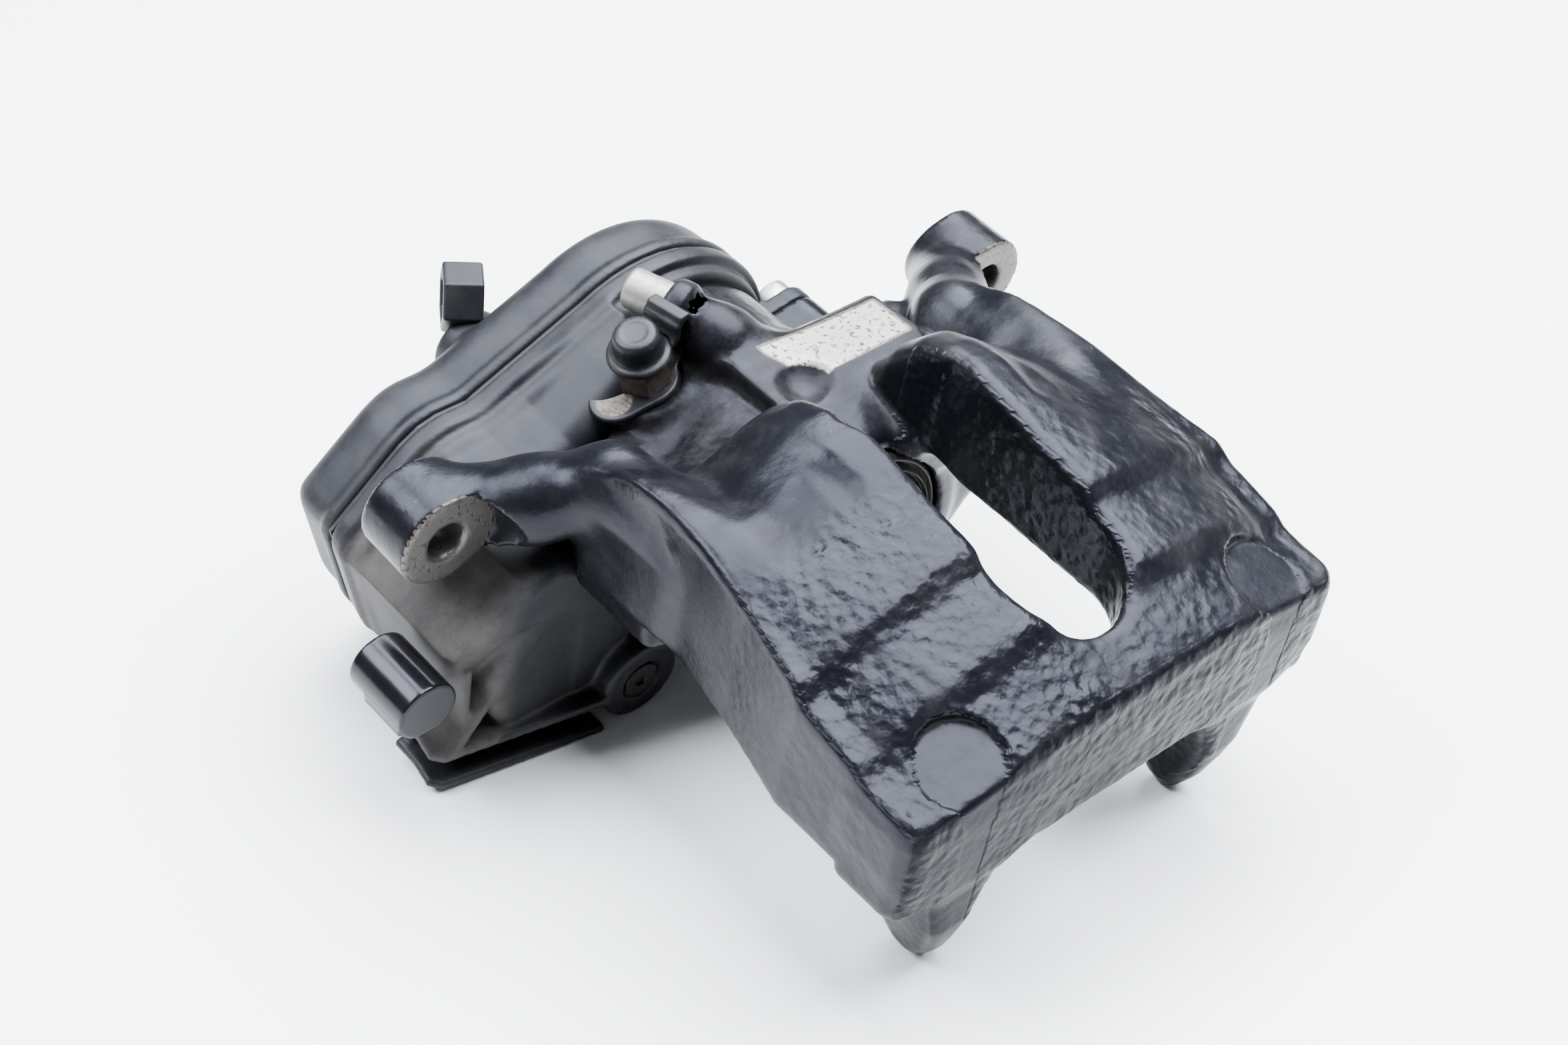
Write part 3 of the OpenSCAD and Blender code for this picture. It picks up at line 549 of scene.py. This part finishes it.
# Heights of the bridge's upper surface: one row for each distance from the ears' plane, taken at
# the inner crest, the crest's outer edge, the trough, and the two edges of the outer rib.
CROWN_X = (14, 23, 37.5, 45.5, 51.5)
CROWN = {
    -6: (7, 6, 2, 6, 12),
    -14: (10, 9, 6, 15, 20),
    -19: (14, 13, 9.5, 20.5, 23.2),
    -24: (26, 24.5, 14.5, 23.4, 24.6),
    -30: (32.4, 31, 19, 25, 25.2),
    -37: (35.3, 33.8, 23.2, 25.9, 25.5),
    -45: (36.2, 34.8, 26, 26.6, 25.2),
    -54: (34.8, 33.5, 27.4, 26.4, 24.2),
    -62: (33, 32, 28, 25.6, 22.9),
    -76: (31.2, 30.4, 27.2, 24.2, 21),
    -79.5: (28, 27.2, 24.3, 21.4, 18.2),
    -92.5: (25.2, 24.5, 21.8, 18.8, 15.4),
    -96: (21.8, 21.2, 18.8, 16.2, 13.2),
    -107: (17, 16.7, 15.4, 13.9, 12.3),
    -113: (13.4, 13.2, 12.3, 11.4, 10.6),
}
# Outlines of the right half, with the left edge past the middle: in plan, and from the front.
HALF_PLAN = [
    (-15, FRONT_Y), (57, FRONT_Y), (57, -78), (53.6, -60), (51.6, -45), (50.4, -34), (50.2, -10), (-15, -10),
]
HALF_FIST = [
    (-5, 8), (56.6, 8), (56.8, -1), (55.2, -5), (48.8, -7.5), (44, -24), (39.6, -40), (37, -44), (-5, -44),
]
FIST_SIDE = [
    (FRONT_Y, 12), (FRONT_Y, -26), (-107, -36), (-103.5, -42.4), (-100.5, -43), (-97, -42), (-94, -38),
    (FINGER_Y, -34), (FINGER_Y, 12),
]
# The raised pad behind the window: from the side, and the part of its top that is ground bare, in plan.
PAD_SIDE = [(-2.5, 0), (-2.5, 16), (-4, 17.4), (-16, 17.4), (-29, 12.5), (-36.5, 8.8), (-36.5, 0)]
GROUND_PATCH = [(-1, -4.2), (29.6, -5.2), (29.4, -16), (4.2, -16.6)]
# Radius of the fist's corners in plan, and the round marks sunk in the two outer ones.
CORNER_R = 4.5
MARK_AT, MARK_R = (40.5, -103, 14.5), 8.8


def lug_place(angle):
    """The x and z of a gear case screw."""
    a = math.radians(angle)
    return LUG_ORBIT * math.cos(a), PISTON_Z + LUG_ORBIT * math.sin(a)


def lug_field(b, angle):
    """Outline of a screw lug: a round end on an arm that points away from the piston's axis."""
    c, s = math.cos(math.radians(angle)), math.sin(math.radians(angle))
    along, beside = b.x * c + (b.z - PISTON_Z) * s, -b.x * s + (b.z - PISTON_Z) * c
    arm = np.maximum(np.abs(beside) - 6, np.abs(along - 28) - 9.5)
    return np.minimum(np.hypot(along - LUG_ORBIT, beside) - 6.2, arm)


def crown_height(b):
    """The upper surface's height over each point of the plan, and its steepness."""
    across = np.abs(b.x)[:, 0, 0]
    rows = sorted(CROWN)
    heights = np.array([np.interp(across, CROWN_X, CROWN[y]) for y in rows])
    y = b.y[0, :, 0]
    low = np.clip(np.searchsorted(rows, y) - 1, 0, len(rows) - 2)
    t = np.clip((y - np.array(rows)[low]) / np.diff(rows)[low], 0, 1)
    top = (heights[low] * (1 - t)[:, None] + heights[low + 1] * t[:, None]).T
    top = soften(soften(top, round(4 / b.step**2), 0), round(1.4 / b.step**2), 1)
    slope = np.hypot(*np.gradient(top, b.step))
    return top[:, :, None].astype(np.float32), np.sqrt(1 + slope**2)[:, :, None].astype(np.float32)


def fist_field(b):
    """The bridge over the disc, and the fist with its two fingers and the arch between them."""
    across = np.abs(b.x)
    top, steep = crown_height(b)
    plan = polygon(across, b.y, inset(HALF_PLAN, CORNER_R)) - CORNER_R
    bridge = meet((b.z - top) / steep, plan, 2.2)
    bridge = meet(bridge, -13 - b.z, 3)
    fist = meet(meet(polygon(across, b.z, HALF_FIST), polygon(b.y, b.z, FIST_SIDE), 4), plan, 2)
    arch = np.hypot(b.x, b.z + 32) - 32
    arch = np.minimum(arch, np.maximum(across - 32, b.z + 32))
    return join(bridge, cut(fist, arch, 4), 3)


def add_ears(body, b):
    """Shoulders round the cylinder, and on each side a bent neck out to the ear."""
    half_shoulder = [(-5, -34), (27, -34), (50, -4), (50, 11), (38, 10), (30, 6), (-5, 6)]
    shoulder = b.slab(-37, -15, half_shoulder, 5, True)
    web = b.slab(-16, 4, [(-44, -4), (-44, 3), (-34, 0), (-12, 3), (26, 9), (44, 6), (44, -4)], 4)
    body = join(body, join(shoulder, web, 6), 7)
    neck = b.bar((42.5, -30, 14), (45, -14, 11.5), 8.4, 8.2, True)
    neck = join(neck, b.bar((45, -14, 11.5), (55, -4, 5.5), 8.2, 7.8, True), 3)
    neck = join(neck, b.bar((55, -4, 5.5), (66, 6.5, 0.5), 8, 8.2, True), 4)
    ear = np.hypot(np.abs(b.x) - EAR_X, b.z) - EAR_R
    ear = meet(ear, b.between_y(-2, EAR_LEN), 1.2)
    body = join(body, join(neck, ear, 4), 3)
    return join(body, b.bar((44, -4, -1), (22, 2, -7), 6, 7, True), 6)


def add_cylinder(body, b):
    """The cylinder with its screw lugs, and the room for the disc and pads in front of it."""
    gap = meet(np.hypot(b.x, b.z + 80.5) - 90, b.between_y(FINGER_Y, MOUTH_Y), 0)
    body = cut(body, gap, 2.5)
    saddle = b.side(-WINDOW_HALF, WINDOW_HALF, [(-15, 13), (-35, 4), (-43, 4), (-43, 70), (-15, 70)], 5)
    body = cut(body, saddle, 5)
    body = join(body, b.rod(CYLINDER_R, MOUTH_Y, BACK_Y, 0, PISTON_Z, 1.5), 5)
    body = join(body, b.side(-8, 31, PAD_SIDE, 0.8), 2.2)
    return join(body, b.side(8, 33, [(-2.5, 0), (-2.5, 13), (-16, 15), (-33, 8), (-33, 0)], 3), 6)


def add_bosses(body, b):
    """Bosses for the hose port, the bleed screw and the gear case's screws."""
    bend = (-3, 4.5, 14.5)
    port = join(b.bar((6, -3, 5), bend, 9, 7.2), b.bar(bend, (-6.9, 9.2, 18.6), 7.2, 5.4), 3)
    body = join(body, port, 4)
    px, py, pz = b.local(PORT_AT, PORT_AXIS_TURN)
    body = join(body, meet(np.hypot(px, py) - 5.9, np.abs(pz - 0.6) - 2.2, 1), 1)
    bx, by, bz = b.local(BLEED_AT, BLEEDER_TURN)
    body = join(body, meet(np.hypot(bx + 0.4, by - 0.4) - 8.7, np.abs(bz + 4.2) - 5.7, 1.6), 4)
    for angle in LUG_ANGLES:
        body = join(body, meet(lug_field(b, angle), b.between_y(12, BACK_Y), 0.8), 3)
    return body


def cut_hollows(body, b):
    """The window, the scoops on the crests' flanks, the dimple by the pad and the corner marks."""
    across = np.abs(b.x)
    middle = polygon(across, b.y, [(-5, -40), (WINDOW_HALF, -40), (WINDOW_HALF, -80), (-5, -84)])
    outer_end = np.hypot(b.x, (b.y + 82) * 0.86) - WINDOW_HALF
    inner_end = polygon(across, b.y, [(-5, -41), (WINDOW_HALF, -41), (9.5, -33.5), (-5, -33.5)])
    body = cut(body, np.minimum(np.minimum(middle, outer_end), inner_end), 3.4)
    body = cut(body, b.bar((29.5, -37, 37.3), (26.5, -53, 35.6), 3.4, 3, True), 3)
    dimple = np.sqrt((b.x - 1.2) ** 2 + (b.y + 16.4) ** 2 + (b.z - 21.4) ** 2) - 7.2
    body = cut(body, dimple, 1)
    lean = about("Y", 8) @ about("X", 13)
    for way in (-1, 1):
        sx, sy, sz = b.local((way * MARK_AT[0], *MARK_AT[1:]), Matrix.Diagonal((way, 1, 1, 1)) @ lean)
        body = cut(body, meet(np.hypot(sx, sy) - MARK_R, -sz, 0.6), 0.9)
    return body


def machine(body, b):
    """Ear faces and guide bolt holes, the bore and its mouth, screw holes, bleed screw and port."""
    from_hole = np.hypot(np.abs(b.x) - EAR_X, b.z)
    body = cut(body, np.maximum(from_hole - EAR_R - 1, np.maximum(b.y, -14 - b.y)))
    body = cut(body, from_hole - GUIDE_R, 0.5)
    body = cut(body, b.rod(PISTON_R + 0.5, -50, 12, 0, PISTON_Z))
    body = cut(body, b.rod(26, -50, -31, 0, PISTON_Z))
    body = cut(body, b.rod(6.6, 0, 30, 0, PISTON_Z))
    for angle in LUG_ANGLES:
        body = cut(body, b.rod(2.7, 10.5, 30, *lug_place(angle)))
    bx, by, bz = b.local(BLEED_AT, BLEEDER_TURN)
    for r, foot in ((3.7, -5.6), (7.4, 1.5)):
        body = cut(body, np.maximum(np.hypot(bx, by) - r, foot - bz))
    px, py, pz = b.local(PORT_AT, PORT_AXIS_TURN)
    for r, foot in ((4.5, 3.05), (4, -4)):
        body = cut(body, np.maximum(np.hypot(px, py) - r, foot - pz))
    return body


def casting_field(b):
    body = fist_field(b)
    for work in (add_ears, add_cylinder, add_bosses, cut_hollows, machine):
        body = work(body, b)
    return body


def cast_noise(points, normals, shares):
    """Lumps of the sand mould, pushed along the normals."""
    coarse, middle, fine = ([noise.noise(Vector(p) / size) for p in points] for size in (11, 2.9, 1.6))
    lumps = 0.16 * np.array(coarse) + shares * (0.12 * np.array(middle) + 0.05 * np.array(fine))
    return points + normals * lumps[:, None]


def step_between(values, low, high):
    t = np.clip((values - low) / (high - low), 0, 1)
    return t * t * (3 - 2 * t)


def build_casting():
    step = 0.7
    b = Block((-84, -112, -46), (84, 24, 39), step)
    points, quads = surface_of(b, casting_field(b))
    normals = normals_of(points, quads)
    x, y, z = points.T
    across = np.abs(x)
    from_hole = np.hypot(across - EAR_X, z)
    machined = (from_hole < EAR_R + 0.3) & (y < 0.4) & (y > -1)
    machined |= from_hole < GUIDE_R + 0.3
    pad = (np.abs(z - 17.7) < 0.9) & (y > -16.6) & (y < -3.6)
    ground = 0.9 - 0.8 * polygon(x, y, GROUND_PATCH)
    bore = (np.hypot(x, z - PISTON_Z) < PISTON_R + 1) & (y < 12.5) & (y > -31)
    pad_seat = (np.abs(y - FINGER_Y) < 0.4) & (z < 2) & (normals[:, 1] > 0.9)
    bare = np.where(machined | bore, 0.8, 0.0) + np.where(pad_seat, 0.3, 0.0)
    bare += np.where(pad, np.clip(ground, 0, 1), 0.0)
    outboard = step_between(-y, 50, 64)
    front = step_between(-normals[:, 1], 0.5, 0.8) * (y < -100)
    inner_wall = (across < WINDOW_HALF + 3) & (y < -30) & (np.abs(normals[:, 0]) > 0.6)
    side_wall = (across > 49) & (y < -40) & (np.abs(normals[:, 0]) > 0.7)
    left_arm = step_between(-x, 0, 14)
    cast = 0.12 + outboard * (0.35 + 0.55 * left_arm) + 0.5 * front + 0.6 * inner_wall
    bare = np.clip(bare, 0, 1)
    mark = np.hypot(across - MARK_AT[0], y - MARK_AT[1]) < MARK_R - 0.4
    cast = np.clip(cast, 0, 1) * np.where(side_wall, 0.25, 1) * np.where(mark, 0.2, 1) * (1 - bare)
    fixed = machined | pad | bore
    points = cast_noise(points, normals, np.where(fixed, 0, cast))
    hollow = step_between(-bulge_of(points, quads, normals), 0.02, 0.12)
    saddle = step_between(y, -34, -18) * step_between(-across, -46, -34) * step_between(z, -4, 3)
    piece = moulded("casting", points, quads, "caliper_housing", PAINT)
    hollow = np.clip(hollow * 0.8 + saddle * 0.6, 0, 1)
    # The front mask also carries painted shade: it turns down the paint's reflection on the fist's front
    # face
    paint_values(piece, sheltered=front, bare=bare, cast=cast, hollow=hollow)


# ---- Gear case -----------------------------------------------------------------------------

TILT = math.atan2(mount("guide_bolt_left")["axis"][2], mount("guide_bolt_left")["axis"][1])
FINGER_TIP_Y, FINGER_TIP_Z, FOOT_Y = -100.5, -43, 26
CASE_FOOT_Z = FINGER_TIP_Z - math.tan(TILT) * (FOOT_Y - FINGER_TIP_Y)
LOBE = [
    (LOBE_R * math.cos(math.radians(a)), PISTON_Z + LOBE_R * math.sin(math.radians(a)))
    for a in np.arange(121, -104.1, -5)
]
CASE_OUTLINE = rounded(LOBE + [
    (-14, -55), (-22, CASE_FOOT_Z), (-54, CASE_FOOT_Z), (-70.8, -44.5), (-77.5, -20), (-61, -4.8),
    (-56.5, -1.9), (-52, -0.7), (-44.5, -0.6), (-40, 1.6),
], 4)
POD = [
    (-76, -23.5), (-60.5, -10), (-52, -8), (-44, -9.5), (-33, -20), (-31.6, -36), (-33, -50), (-42, -56),
    (-60, -54), (-70, -46),
]
POD_FRONT_Y = -11.6
ROOF = [
    (-66, -12), (-56, -4), (-46, -2.2), (-36, 1), (-24, 10), (-14, 14), (-6, 8), (-22, -12), (-40, -30),
    (-60, -30),
]
# The tray under the pod, in plan, and the heights of its two plates.
TRAY = [(-78.4, -2), (-79.6, -8.6), (-77.6, -11), (-41, -17.4), (-41, 4), (-78.4, 4)]
TRAY_Z = (-48.6, -56.6)


def pod_field(b):
    """The motor's housing: a barrel, with its front set back beside it above the tray."""
    set_back = 10 * np.clip((-20 - b.z) / 22, 0, 1) * np.clip((-46 - b.x) / 10, 0, 1)
    depth = np.maximum(POD_FRONT_Y + set_back - b.y, b.y - 27)
    barrel = b.rod(17.6, POD_FRONT_Y, 20, *MOTOR, 3)
    return join(meet(polygon(b.x, b.z, POD) - 0.2, depth, 4), barrel, 2)


def add_tray(body, b):
    plan = polygon(b.x, b.y, TRAY)
    for z in TRAY_Z:
        body = join(body, meet(plan, np.abs(b.z - z) - 1.1, 0.8), 0.7)
    back = polygon(b.x, b.y, [(-76.5, 1), (-40, 1), (-40, 4), (-76.5, 4)])
    body = join(body, meet(back, np.abs(b.z + 53.5) - 4, 0.5), 0.6)
    body = join(body, b.side(-72.6, -70.8, [(0, -24), (-9.4, -28), (-10, -49), (0, -49)], 0.5), 0.8)
    gusset = polygon(b.x, b.z, [(-58, -24), (-56.4, -24), (-74.4, -48.8), (-77.4, -48.8)])
    return join(body, meet(gusset, b.between_y(-11.4, 0), 0.5), 0.8)


def base_field(b):
    outline = polygon(b.x, b.z, CASE_OUTLINE)
    body = meet(outline, b.between_y(26.2, SEAM_Y - 0.5), 1.2)
    body = join(body, meet(outline + 2.2, b.between_y(23.2, 28), 1.6), 0.8)
    roof = meet(polygon(b.x, b.z, ROOF), b.between_y(7, 27), 6)
    roof = cut(roof, b.rod(29.6, 0, BACK_Y, 0, PISTON_Z, 0))
    body = join(body, join(pod_field(b), roof, 5), 4)
    body = join(body, b.rod(27, BACK_Y, 25, 0, PISTON_Z, 0.5), 1)
    body = add_tray(body, b)
    body = join(body, b.rod(9.4, -16.8, 4, *CASE_SCREW, 1), 1.2)
    for angle in LUG_ANGLES:
        body = join(body, meet(lug_field(b, angle), b.between_y(BACK_Y + 0.1, 26), 0.6), 0.8)

    # Hollow for the gears, motor bore, spindle opening, screw holes and the slot between the tray's plates
    body = cut(body, meet(outline + 3, b.between_y(26.6, SEAM_Y + 2), 0))
    body = cut(body, b.rod(15.6, -9.3, 28, *MOTOR))
    body = cut(body, b.rod(12, 20, 28, 0, PISTON_Z))
    for angle in LUG_ANGLES:
        body = cut(body, b.rod(3.3, 20, 40, *lug_place(angle)))
        body = cut(body, b.rod(5.7, 26.05, 40, *lug_place(angle), 0.2))
    body = cut(body, b.rod(4.7, -19, -15.4, *CASE_SCREW, 0.3), 0.3)
    slot = np.maximum(np.abs(b.z + 53.3) - 2.3, np.abs(b.y + 10) - 10.5)
    return cut(body, np.maximum(np.maximum(-80 - b.x, b.x + 41), slot), 0.5)


def cover_field(b):
    outline = polygon(b.x, b.z, CASE_OUTLINE)
    lip = meet(outline, b.between_y(SEAM_Y + 0.5, SEAM_Y + 3.2), 1.0)
    wall_in = 1.1 + 5.5 * np.clip((b.y - 38) / (COVER_Y + 1 - 38), 0, 1) ** 3
    body = join(lip, meet(outline + wall_in, b.between_y(SEAM_Y + 0.5, COVER_Y), 2.4), 1.2)
    body = join(body, b.rod(8.2, COVER_Y - 3, 51.5, *TURRET, 1.4), 1.5)
    body = cut(body, meet(outline + 4, b.between_y(SEAM_Y - 1, 41), 0))
    body = cut(body, b.rod(3.5, COVER_Y + 1, 54, *TURRET))
    for angle in LUG_ANGLES:
        body = cut(body, b.rod(6.6, 20, 60, *lug_place(angle), 0), 0.8)
    return body


def build_case():
    step = 0.55
    b = Block((-80, -18.5, -67), (46, 32, 20), step)
    points, quads = surface_of(b, base_field(b))
    normals = normals_of(points, quads)
    x, y, z = points.T
    hollow = step_between(-bulge_of(points, quads, normals), 0.03, 0.15)
    wall = step_between(-x, 60, 66) * (y < 26) * (y > -13) * step_between(-z, 14, 20) * (z > -49)
    roof = step_between(-x, 52, 62) * step_between(normals[:, 2], 0.3, 0.6) * (y < 25) * (z > -36)
    base = moulded("gear_case_lower", points, quads, "gear_case_base", CASE)
    paint_values(base, hollow=hollow, dirt=np.clip(wall * 0.8 + roof * 0.4, 0, 1))
    b = Block((-80, SEAM_Y - 1, -67), (35, 53, 20), step)
    points, quads = surface_of(b, cover_field(b))
    hollow = step_between(-bulge_of(points, quads, normals_of(points, quads)), 0.03, 0.15)
    cover = moulded("gear_case_upper", points, quads, "gear_case_cover", CASE)
    paint_values(cover, hollow=hollow, dirt=np.zeros(len(points)))


# ---- Small outer pieces --------------------------------------------------------------------


def build_connector():
    """The plug's shroud: round above and flat below, with a key rib on its outer side."""
    b = Block((-91, -13, -39), (-75, 6, -21), 0.3)

    def shape(r):
        x, z = b.x - PLUG[0], b.z - PLUG[1]
        return np.maximum(np.hypot(x, z) - r, -z - r * 0.9)

    body = meet(shape(6.6), b.between_y(-12, 5), 0.7)
    body = cut(body, meet(shape(5), b.between_y(-9.5, 8), 0.3), 0.4)
    rib = np.maximum(np.abs(b.x - PLUG[0] + 5.9) - 0.6, np.abs(b.z - PLUG[1] + 2.2) - 1.4)
    body = join(body, meet(rib, b.between_y(-11.5, 0), 0.3), 0.4)
    points, quads = surface_of(b, body)
    piece = moulded("plug_housing", points, quads, "connector_shroud", GLOSS)
    paint_values(piece, hollow=np.zeros(len(points)), dirt=np.zeros(len(points)))


def build_clip():
    """Six-sided loop for a cable, on a stem from the turret."""
    b = Block((-40, 46, -13), (-18, 63, 12), 0.3)
    along, beside, up = b.local((-28, 54.7, 1.2), about("Z", -34))
    flats = [(math.sin(a), math.cos(a)) for a in (0, math.pi / 3, 2 * math.pi / 3)]
    hexagon = np.maximum.reduce([np.abs(beside * u + up * v) for u, v in flats])
    loop = meet(cut(hexagon - 6.4, hexagon - 4.7, 0.3), np.abs(along) - 4.2, 0.7)
    stem = np.maximum(np.maximum(np.abs(b.x + 28.5) - 2.5, np.abs(b.y - 53.6) - 2), np.abs(b.z + 5.6) - 2.6)
    body = join(join(loop, stem, 0.8), b.rod(4, 51.55, 53, *TURRET, 0.5), 0.6)
    body = join(body, b.rod(3.3, 48.5, 52.5, *TURRET, 0.3), 0.3)
    points, quads = surface_of(b, body)
    piece = moulded("cable_holder", points, quads, "cable_clip", CASE)
    paint_values(piece, hollow=np.zeros(len(points)), dirt=np.zeros(len(points)))


def build_strap():
    """Ring and tongue round the bleed screw, and the band that curls up to the cap's flange."""
    b = Block((-14, -9, 0.8), (13.5, 10.5, 18), 0.25)
    ring = np.hypot(b.x, b.y) - 6.8
    tongue = np.hypot(b.x + 7.6, b.y) - 5.4
    plate = meet(join(ring, tongue, 4), np.abs(b.z - 2.5) - 0.85, 0.7)
    turn = math.radians(STRAP_TURN)
    p, q = b.x * math.cos(turn) + b.y * math.sin(turn), b.y * math.cos(turn) - b.x * math.sin(turn)
    path = [
        (4.6, 11.3), (6.4, 12.1), (7.4, 14.3), (8.7, 15.5), (10, 15.1), (10.7, 13.6), (10.6, 11), (9.8, 8),
        (8.6, 5.2), (7.2, 3.3), (5.6, 2.6),
    ]
    band = None
    for (au, aw), (bu, bw) in zip(path, path[1:]):
        du, dw = bu - au, bw - aw
        t = np.clip(((p - au) * du + (b.z - aw) * dw) / (du * du + dw * dw), 0, 1)
        d = np.hypot(p - au - du * t, b.z - aw - dw * t) - 0.7
        band = d if band is None else join(band, d, 0.8)
    half = 4.5 - 1.6 * np.clip((11 - b.z) / 8, 0, 1)
    band = meet(band, np.abs(q + 0.4) - half, 0.5)
    band = cut(band, np.maximum(np.hypot(b.x, b.y) - 6.3, np.abs(b.z - 11.4) - 1.1))
    body = cut(join(plate, band, 1.2), np.hypot(b.x, b.y) - 3.7, 0.3)
    points, quads = surface_of(b, body)
    worn = step_between(-np.hypot(points[:, 0] + 8.2, points[:, 1] + 0.4), -4.8, -2.4) * (points[:, 2] > 3)
    piece = moulded("rubber_strap", points, quads, "cap_strap", CAP, BLEEDER, None)
    paint_values(piece, worn=worn)
    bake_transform(piece)


def build_turned_pieces():
    cap = [
        (0, 15.6), (3.4, 15.6), (3.4, 10.4), (6.2, 10.4), (6.6, 11), (6.35, 11.9), (5.3, 12.3), (4.95, 13),
        (4.75, 16.2), (4.1, 17.3), (3, 17.6), (2.2, 17.4), (0, 17.35),
    ]
    piece = turned("rubber_cap", rounded(cap, 0.7), BLEEDER, "bleed_cap", ["bleed_cap"], CAP)
    paint_values(piece, worn=np.zeros(len(piece.data.vertices)))
    stub = rounded([
        (3.8, 2.05), (3.8, 3.1), (4.3, 3.1), (4.3, 11.4), (3.9, 12.05), (2.6, 12.05), (1.95, 11.2),
        (1.95, 2.05),
    ], 0.35)
    turned("hose_stub_tube", stub, PORT, "housing", ["hose_sleeve"], PORT_STEEL)
    piston = [
        (0, -33), (12, -33), (14.4, -36), (14.6, -38.6), (15, -39), (20.2, -39), (20.65, -38.6),
        (20.7, -36.6), (21.4, -35.8), (21.48, 7), (20.6, 8), (16, 8), (16, -29), (14.5, -27.5), (0, -27.5),
    ]
    turned("piston_cup", rounded(piston, 0.5), PISTON_AXIS, "piston", ["piston"], PISTON)


def build_boot():
    """Bellows between the cylinder's mouth and the piston's groove."""
    profile = [
        (25.6, -31.2), (25.8, -34.4), (24.8, -35.6), (23.9, -33.6), (23, -36.4), (22.2, -34), (21.3, -37.6),
        (20.8, -37.8),
    ]
    outer = profile + [(r - 0.5, h + 0.9) for r, h in reversed(profile[1:-1])] + [(24.9, -31.2)]
    piece = turned("bellows", rounded(outer, 0.5, 3), PISTON_AXIS, None, ["dust_boot"], SEAL)
    paint_values(piece, worn=np.zeros(len(piece.data.vertices)))
    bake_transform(piece)


def dress(nodes, material, bevel=0.0):
    """A better material for CAD nodes that stay, with their sharp edges broken."""
    for name in nodes:
        node = frame["nodes"][name]
        node.data.materials.clear()
        node.data.materials.append(material)
        if bevel:
            weld = node.modifiers.new("weld", "WELD")
            weld.merge_threshold = 1e-6
            edge = node.modifiers.new("edge", "BEVEL")
            edge.width, edge.segments, edge.limit_method = bevel * MM, 2, "ANGLE"
            edge.angle_limit = math.radians(40)
            edge.harden_normals = True


def dress_nodes():
    dress(["bleed_screw"], RUST, 0.25)
    dress(["mounting_screws"], STEEL, 0.25)
    dress(["case_screw"], DARK_SCREW, 0.2)
    dress(["connector_pins"], TERMINAL, 0.1)
    dress(["case_seal", "turret_seal", "piston_seal", "spindle_seal"], SEAL)
    dress(["spindle", "spindle_nut", "thrust_bearing", "thrust_washer", "circlip", "planet_carrier"], STEEL)
    dress(["planet_pins", "pulley_axle", "motor_pulley", "motor_shaft", "motor_can"], STEEL)
    dress(["ring_gear", "planet_gear_1", "planet_gear_2", "planet_gear_3", "sun_pulley"], GEAR)
    dress(["drive_belt"], BELT)
    dress(["motor_armature"], COPPER)
    dress(["motor_magnets"], FERRITE)
    dress(["motor_end_cap"], CASE)


# ---- Camera, floor and light ---------------------------------------------------------------

CAMERA_AT = (-298.2, -274.5, 355.5)
CAMERA_UP, CAMERA_BACK = (0.3873, 0.5875, 0.7106), (-0.5497, -0.4717, 0.6896)


def build_camera():
    """The main camera, placed in the design frame: its up and back directions give its turn."""
    data = bpy.data.cameras.new("camera")
    data.lens, data.sensor_width = 61.3, 36
    data.clip_start, data.clip_end = 0.02, 50
    camera = bpy.data.objects.new("camera", data)
    bpy.context.scene.collection.objects.link(camera)
    back = Vector(CAMERA_BACK).normalized()
    right = Vector(CAMERA_UP).cross(back).normalized()
    turn = Matrix((right, back.cross(right), back)).transposed().to_4x4()
    camera.matrix_world = rigid(CAMERA_AT, turn)
    bpy.context.scene.camera = camera


def area_light(name, at, aim, size, power, colour=(1, 1, 1)):
    data = bpy.data.lights.new(name, "AREA")
    data.shape, data.size, data.size_y = "RECTANGLE", size[0], size[1]
    data.energy, data.color = power, colour
    light = bpy.data.objects.new(name, data)
    bpy.context.scene.collection.objects.link(light)
    light.location = at
    light.rotation_mode = "QUATERNION"
    light.rotation_quaternion = (Vector(aim) - Vector(at)).to_track_quat("-Z", "Y")


def build_stage():
    """A plain pale floor, a dim blue-white sky, a large soft light overhead and a small one behind."""
    bpy.ops.mesh.primitive_plane_add(size=8, location=(0, 0, 0))
    floor = bpy.context.object
    floor.name = "floor"
    s = Shader("floor_white")
    tone = s.blend(s.ramp(s.noise(180, 4, 0.6), 0.3, 0.7), (0.90, 0.885, 0.86), (0.92, 0.90, 0.88))
    waves = s.bump(s.noise(30, 3, 0.5), 0.3)
    floor.data.materials.append(s.done(s.surface(tone, 0.45, waves, Specular_IOR_Level=0.3)))
    world = bpy.data.worlds.new("studio")
    bpy.context.scene.world = world
    world.use_nodes = True
    world.node_tree.nodes["Background"].inputs["Color"].default_value = (0.86, 0.92, 1.0, 1)
    world.node_tree.nodes["Background"].inputs["Strength"].default_value = 0.3
    area_light("key", (0.45, 0.0, 1.25), (0, 0, 0.03), (1.7, 1.4), 185, (0.88, 0.93, 1))
    area_light("side", (-0.6, 0.45, 1.0), (0, 0, 0.03), (0.7, 0.6), 34, (0.88, 0.93, 1))


build_camera()
build_stage()
build_casting()
build_case()
build_connector()
build_clip()
build_strap()
build_turned_pieces()
build_boot()
dress_nodes()
